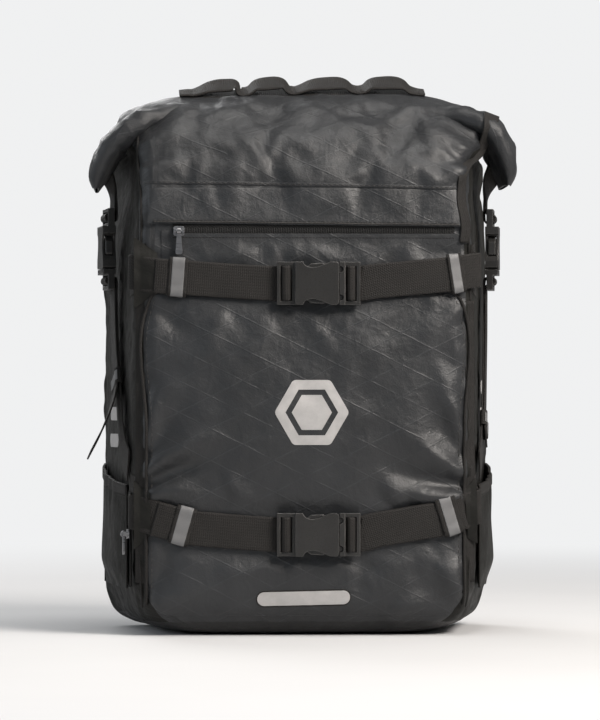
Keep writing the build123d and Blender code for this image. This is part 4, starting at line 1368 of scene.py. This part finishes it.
def side_strap(hand, side):
    """The strap from a side buckle down to the front edge above the side pocket."""
    normal = side_normal(hand)
    knots = np.array(SIDE_STRAP, float)[::-1]
    line = curve(knots, 90)
    outs = np.interp(line[:, 1], (122, 135, 150, 200, 252), (1.6, 2.2, 2.6, 2.8, 2.8))
    far = np.array([plane_point(hand, u, h, out) for (u, h), out in zip(line, outs)])
    lace = dense(laced(side, "plug"))
    tail = side_tail(hand)
    _, way, out = buckle_place(side)
    straight = -np.cross(out, way)
    before = widths_beside(np.diff(far, axis=0), normal)
    if before[0] @ straight < 0:
        before = -before
    through = np.broadcast_to(straight, (len(lace) + 1, 3))
    after = -widths_beside(np.diff(tail, axis=0), normal)
    across = smoothed(np.vstack([before, through, after, after[-1:]]), 3)
    path = smoothed(np.vstack([far, lace, tail]), 2)
    strap = band(f"side_strap_{side}_webbing", path, across, webbing, slot_thick, WEBBING)
    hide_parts(f"side_strap_{side}")
    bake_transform(strap)
    keeper_h = 184.0 if hand < 0 else 152.0
    inset, above = (float(np.interp(h, knots[:, 1], knots[:, 0])) for h in (keeper_h, keeper_h + 4))
    along = np.array(plane_point(hand, above, keeper_h + 4, 0))
    along = along - np.array(plane_point(hand, inset, keeper_h, 0))
    along /= np.linalg.norm(along)
    centre = plane_point(hand, inset, keeper_h, 2.8)
    across = np.cross(normal, along)
    loop_keeper(f"side_keeper_{side}", centre, along, across, normal, 12.0, 7.5, front=2.5)


def roll_tabs():
    """Webbing from the ends of the roll down through the side buckles' sockets."""
    tops = ((352, 13.0), (343, 11.0), (333, 7.0), (324, 3.8), (316, 2.8))
    backs = ((320, 4.15), (328, 5.4), (336, 8.6), (343, 12.2))
    for (hand, side), twist in zip(SIDES, (0.25, 0.48)):
        _, way, out = buckle_place(side)
        backward = np.cross(out, way) * hand
        far = curve([plane_point(hand, side_strap_inset, h, t) for h, t in tops], 40)
        tail = curve([plane_point(hand, side_strap_inset, h, t) for h, t in backs], 26)
        path = settled_path(np.vstack([far, dense(laced(side, "socket")), tail]))
        turn = twist * smooth(318, 338, path[:, 2])[:, None]
        across = np.cos(turn) * backward + np.sin(turn) * out
        tab = band(f"roll_tab_{side}", path, across, webbing, slot_thick, WEBBING)
        placed("webbing", "roll_closure", tab)
    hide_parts("roll_end_tabs")


WINGS = {
    "wing_upper_left": ((-124, 236), (-108, 247), (-107, 276), (-124, 288)),
    "wing_lower_left": ((-124, 62), (-112, 72), (-112, 103), (-124, 112)),
    "wing_lower_right": ((118, 70), (125, 66), (124, 114), (115, 104)),
}


def anchors():
    """The folded fabric wings and webbing stubs that take the straps' ends at the bag's edges."""
    made = []
    for name, corners in WINGS.items():
        level = name.split("_")[1]
        spots = patch(*corners, 26, 14)
        outer = np.empty(spots.shape[:2] + (3,))
        for index in np.ndindex(spots.shape[:2]):
            x, h = spots[index]
            over = strap_front(x) + 1.6
            middle = middle_height(f"{level}_buckle_socket") + strap_rise(level, x)
            near = math.exp(-(((h - middle) / 16) ** 4))
            y = min(ray_y(max(-120.5, min(120.5, x)), h) - 0.7, front_y - over * near)
            outer[index] = (x, y + 0.25 * math.sin(h / 3.0 + x / 5.0), h)
        made.append(sheet(name, outer, outer + np.array((0, 0.9, 0)), SIDE_LAMINATE, spots, 60))
    for hand, side in SIDES:
        for level, low_h, high_h in (("lower", 84, 118), ("upper", 245, 286)):
            spots = patch((136, low_h), (159, low_h + 3), (159, high_h - 3), (136, high_h), 14, 12)
            outer, inner = (
                [[on_side(hand, u, h, out) for u, h in row] for row in spots] for out in (0.55, -0.3)
            )
            made.append(sheet(f"anchor_{level}_{side}", outer, inner, BINDING, spots, 60))
    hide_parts("strap_anchors")
    placed("webbing", "root", *made)


# ---- side panels -----------------------------------------------------------------------------
def side_pocket(hand, side):
    """A gathered side pocket with a bound, elastic mouth."""
    rows, columns = 46, 60
    back_inset, front_inset, foot = 15, 135, 33
    outer, inner = np.empty((2, rows, columns, 3))
    coords = np.empty((rows, columns, 2))
    for i, rise in enumerate(np.linspace(0, 1, rows)):
        for j, inset in enumerate(np.linspace(back_inset, front_inset, columns)):
            s = (inset - back_inset) / (front_inset - back_inset)
            head = np.interp(inset, (back_inset, front_inset), (121, 107)) - 2.0 * math.sin(s * math.pi)
            h = foot + (head - foot) * rise
            belly = (1 - abs(2 * s - 1) ** 3) * (0.30 + 0.70 * smooth(0, 0.25, rise))
            belly = belly * (1 - 0.35 * rise**2)
            pleat = 0.9 * math.sin(inset / 4.1 + 1.5 * math.sin(inset / 13)) * smooth(0.5, 1.0, rise)
            pleat += 0.7 * math.sin(inset / 6.0 + 2) * (1 - smooth(0, 0.22, rise))
            crease = 0.7 * math.sin((h + inset * 0.35) / 9.0) * math.sin(s * math.pi)
            out = 0.7 + 7.8 * belly + (pleat + crease) * min(1.0, 4 * s, 4 * (1 - s)) * 0.75
            out = max(out, 0.7)
            outer[i, j] = plane_point(hand, inset, h, out)
            inner[i, j] = plane_point(hand, inset, h, max(out - 1.0, 0.3))
            coords[i, j] = (inset, h)
    name = f"side_pocket_{side}"
    normal = side_normal(hand)
    made = [sheet(name + "_cloth", outer, inner, SIDE_LAMINATE, coords, 60)]
    hem = smoothed(outer[-1], 1) + normal * 0.1
    made.append(band(name + "_hem", hem - np.array((0, 0, 2.5)), (0, 0, 1), 8.0, 2.2, BINDING))
    made.append(stitches(name + "_stitches", hem - np.array((0, 0, 7.5)) + normal * 0.3, normal))
    for end, column in (("back", 0), ("front", -1)):
        line = outer[:, column] + normal * 0.3
        made.append(band(f"{name}_{end}_edge", line, (0, 1, 0), 7.0, 1.1, BINDING))
    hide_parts(name)
    placed("dark_laminate", "root", *made)


def follow_side(points, thickness):
    x, y, h = points.T
    inset = (back_y - y) / math.cos(side_lean)
    raised = from_lowest(np.abs(x) + inset * math.sin(side_lean))
    spots = zip(np.sign(x), inset, h, 0.05 + thickness * raised)
    return np.array([on_side(*spot) for spot in spots]), np.column_stack([inset, h])


def side_zip():
    """The small upright zip near the left panel's front edge."""
    inset = 154
    low, high = extent("side_zip_tape")
    heights = np.linspace(low[2] - 3, high[2] + 3, 30)
    path = [plane_point(-1, inset, h, 0.75) for h in heights]
    tape = band("side_zip_cloth", path, (0.1, 1, 0), 11, 0.8, ZIP_TAPE)
    teeth = []
    for h in np.arange(low[2], high[2], 1.6):
        for wide in (-1.8, -0.8, 0.8, 1.8):
            for up, out in ((-0.5, 0.0), (0.5, 0.0), (0.35, 0.22), (-0.35, 0.22)):
                teeth.append((plane_point(-1, inset + wide, h + up, 1.0 + out), (h, wide)))
    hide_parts("side_zip_tape")
    placed("zip_tape", "root", tape, coil_piece("side_zip_coil", teeth))


front_pocket()
front_marks()
front_seams()
zip_line()
for level in ("upper", "lower"):
    for hand, side in SIDES:
        front_strap(level, hand, side)
front_keepers()
anchors()
for hand, side in SIDES:
    side_strap(hand, side)
    side_pocket(hand, side)
roll_tabs()
side_zip()
draped("side_marks", follow_side)


# ---- CAD nodes: better finishes --------------------------------------------------------------
slots = {part["node"]: part["material_slot"] for part in frame["record"]["subparts"]}
for node, thing in frame["nodes"].items():
    finish = CAD_FINISH.get(slots[node])
    if finish:
        thing.data.materials.clear()
        thing.data.materials.append(finish)
        weld = thing.modifiers.new("weld", "WELD")
        weld.merge_threshold = 0.00001
        flat = thing.modifiers.new("flat", "DECIMATE")
        flat.decimate_type = "DISSOLVE"
        flat.angle_limit = math.radians(1)
        edge = thing.modifiers.new("edge", "BEVEL")
        edge.width = 0.0005
        edge.segments = 2
        edge.limit_method = "ANGLE"
        edge.angle_limit = math.radians(40)
        shading = thing.modifiers.new("shading", "WEIGHTED_NORMAL")
        shading.keep_sharp = True


def pull_handle():
    """The release handle's webbing loop, with a bound grip across its top."""
    low, high = extent("release_handle")
    half, foot, head = high[0] - 6, low[2], high[2]
    middle_y = (low[1] + high[1]) / 2
    leg_y = low[1] + 1.7
    leg = [(-half, leg_y, foot), (-half, leg_y, foot + 26), (-half, leg_y, foot + 46)]
    leg += [(-half + 0.6, middle_y, head - 14), (-half + 4, middle_y, head - 8)]
    leg = curve(leg + [(-half + 12, middle_y, head - 6)], 60)
    made = []
    for mirrored, side in ((1, "left"), (-1, "right")):
        path = leg * (mirrored, 1, 1)
        made.append(band(f"pull_{side}_webbing", path, (1, 0, 1), 12.0, 2.2, WEBBING))
    stations = ((-half - 2, 8), (-20, 6.4), (0, 6), (20, 6.4), (half + 2, 8))
    grip = curve([(x, middle_y, head - drop) for x, drop in stations], 60)
    sides = 20
    points, coords = [], []
    for k, centre in enumerate(grip):
        swell = 1 - 0.35 * abs(2 * k / (len(grip) - 1) - 1) ** 6
        for turn in np.linspace(0, 2 * math.pi, sides, endpoint=False):
            cos, sin = math.cos(turn), math.sin(turn)
            tall = 7.8 * swell * np.sign(sin) * abs(sin) ** 0.8
            points.append(centre + np.array((0, 3.4 * swell * cos, tall)))
            coords.append((centre[0], turn * 6))
    faces = tube_faces(len(grip), sides)
    made.append(make_piece("pull_grip", points, faces, SIDE_LAMINATE, coords))
    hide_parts("release_handle")
    placed("webbing", "release_handle", *made)


pull_handle()

# ---- stage -----------------------------------------------------------------------------------
def in_scene(name, data):
    thing = bpy.data.objects.new(name, data)
    bpy.context.collection.objects.link(thing)
    return thing


def aimed(thing, place, target):
    thing.location = place
    thing.rotation_mode = "QUATERNION"
    thing.rotation_quaternion = (Vector(target) - thing.location).to_track_quat("-Z", "Y")


def area_light(name, place, target, size, power, colour):
    data = bpy.data.lights.new(name, "AREA")
    data.shape = "DISK"
    data.size = size
    data.energy = power
    data.color = colour
    aimed(in_scene(name, data), place, target)


def camera_glow(tree, plain, added):
    """A strength that is higher for what the camera sees directly than for the light it gives."""
    seen = add_node(tree, "ShaderNodeLightPath").outputs["Is Camera Ray"]
    return Signal(tree, seen) * added + plain


def pale_floor():
    """A floor that fades into the background's brightness with distance."""
    material, tree, shader = blank_material("pale_floor")
    place = add_node(tree, "ShaderNodeTexCoord").outputs["Object"]
    tint = add_node(tree, "ShaderNodeVectorMath", {"operation": "SCALE"})
    feed(tree, noise_of(tree, place, 3.0).ramp(0.3, 0.7, 0.97, 1.0), tint.inputs["Scale"])
    tint.inputs[0].default_value = (0.66, 0.66, 0.665)
    feed(tree, tint.outputs[0], shader.inputs["Base Color"])
    shader.inputs["Roughness"].default_value = 0.85
    distance = add_node(tree, "ShaderNodeVectorMath", {"operation": "LENGTH"})
    feed(tree, place, distance.inputs[0])
    far = Signal(tree, distance.outputs["Value"]).ramp(0.45, 1.8)
    glow = add_node(tree, "ShaderNodeEmission", Strength=camera_glow(tree, 0.25, 0.74))
    glow.inputs["Color"].default_value = BACKGROUND
    mixed = add_node(tree, "ShaderNodeMixShader")
    for value, socket in zip((far, shader.outputs[0], glow.outputs[0]), mixed.inputs):
        feed(tree, value, socket)
    feed(tree, mixed.outputs[0], tree.nodes["Material Output"].inputs["Surface"])
    return material


BACKGROUND = (0.88, 0.885, 0.89, 1)


LIGHTS = (
    ("key", (1.05, -1.25, 1.0), 0.9, 46, (1.0, 0.94, 0.88)),
    ("fill", (-1.0, -2.6, 0.5), 1.4, 4, (0.72, 0.87, 1.0)),
    ("side", (-2.6, -0.1, 0.7), 1.4, 12, (0.86, 0.93, 1.0)),
    ("top", (0.2, -0.5, 1.9), 1.0, 16, (1.0, 0.98, 0.95)),
    ("behind", (-0.8, 1.9, 1.2), 1.4, 26, (1.0, 1.0, 1.0)),
)


def stage():
    """Pale floor, soft lights, and a camera a little left of the bag and level with its middle."""
    centre = Vector((0.0, (front_y + back_y) / 2 * MM, (bottom + 200) * MM))
    reach, level = 40.0, bottom * MM - 0.0005
    corners = [(x * reach, y * reach, level) for x, y in ((-1, -1), (1, -1), (1, 1), (-1, 1))]
    mesh = bpy.data.meshes.new("floor")
    mesh.from_pydata(corners, [], [(0, 1, 2, 3)])
    mesh.materials.append(pale_floor())
    in_scene("floor", mesh)

    world = bpy.data.worlds.new("studio")
    bpy.context.scene.world = world
    world.use_nodes = True
    background = world.node_tree.nodes["Background"]
    background.inputs["Color"].default_value = BACKGROUND
    feed(world.node_tree, camera_glow(world.node_tree, 0.22, 0.77), background.inputs["Strength"])
    for name, place, size, power, colour in LIGHTS:
        area_light(name, place, centre, size, power, colour)

    data = bpy.data.cameras.new("camera")
    data.lens = 192
    camera = in_scene("camera", data)
    aimed(camera, (-0.135, front_y * MM - 2.775, (bottom + 163) * MM), centre)
    bpy.context.scene.camera = camera
    bpy.context.scene.view_settings.view_transform = "Standard"


stage()
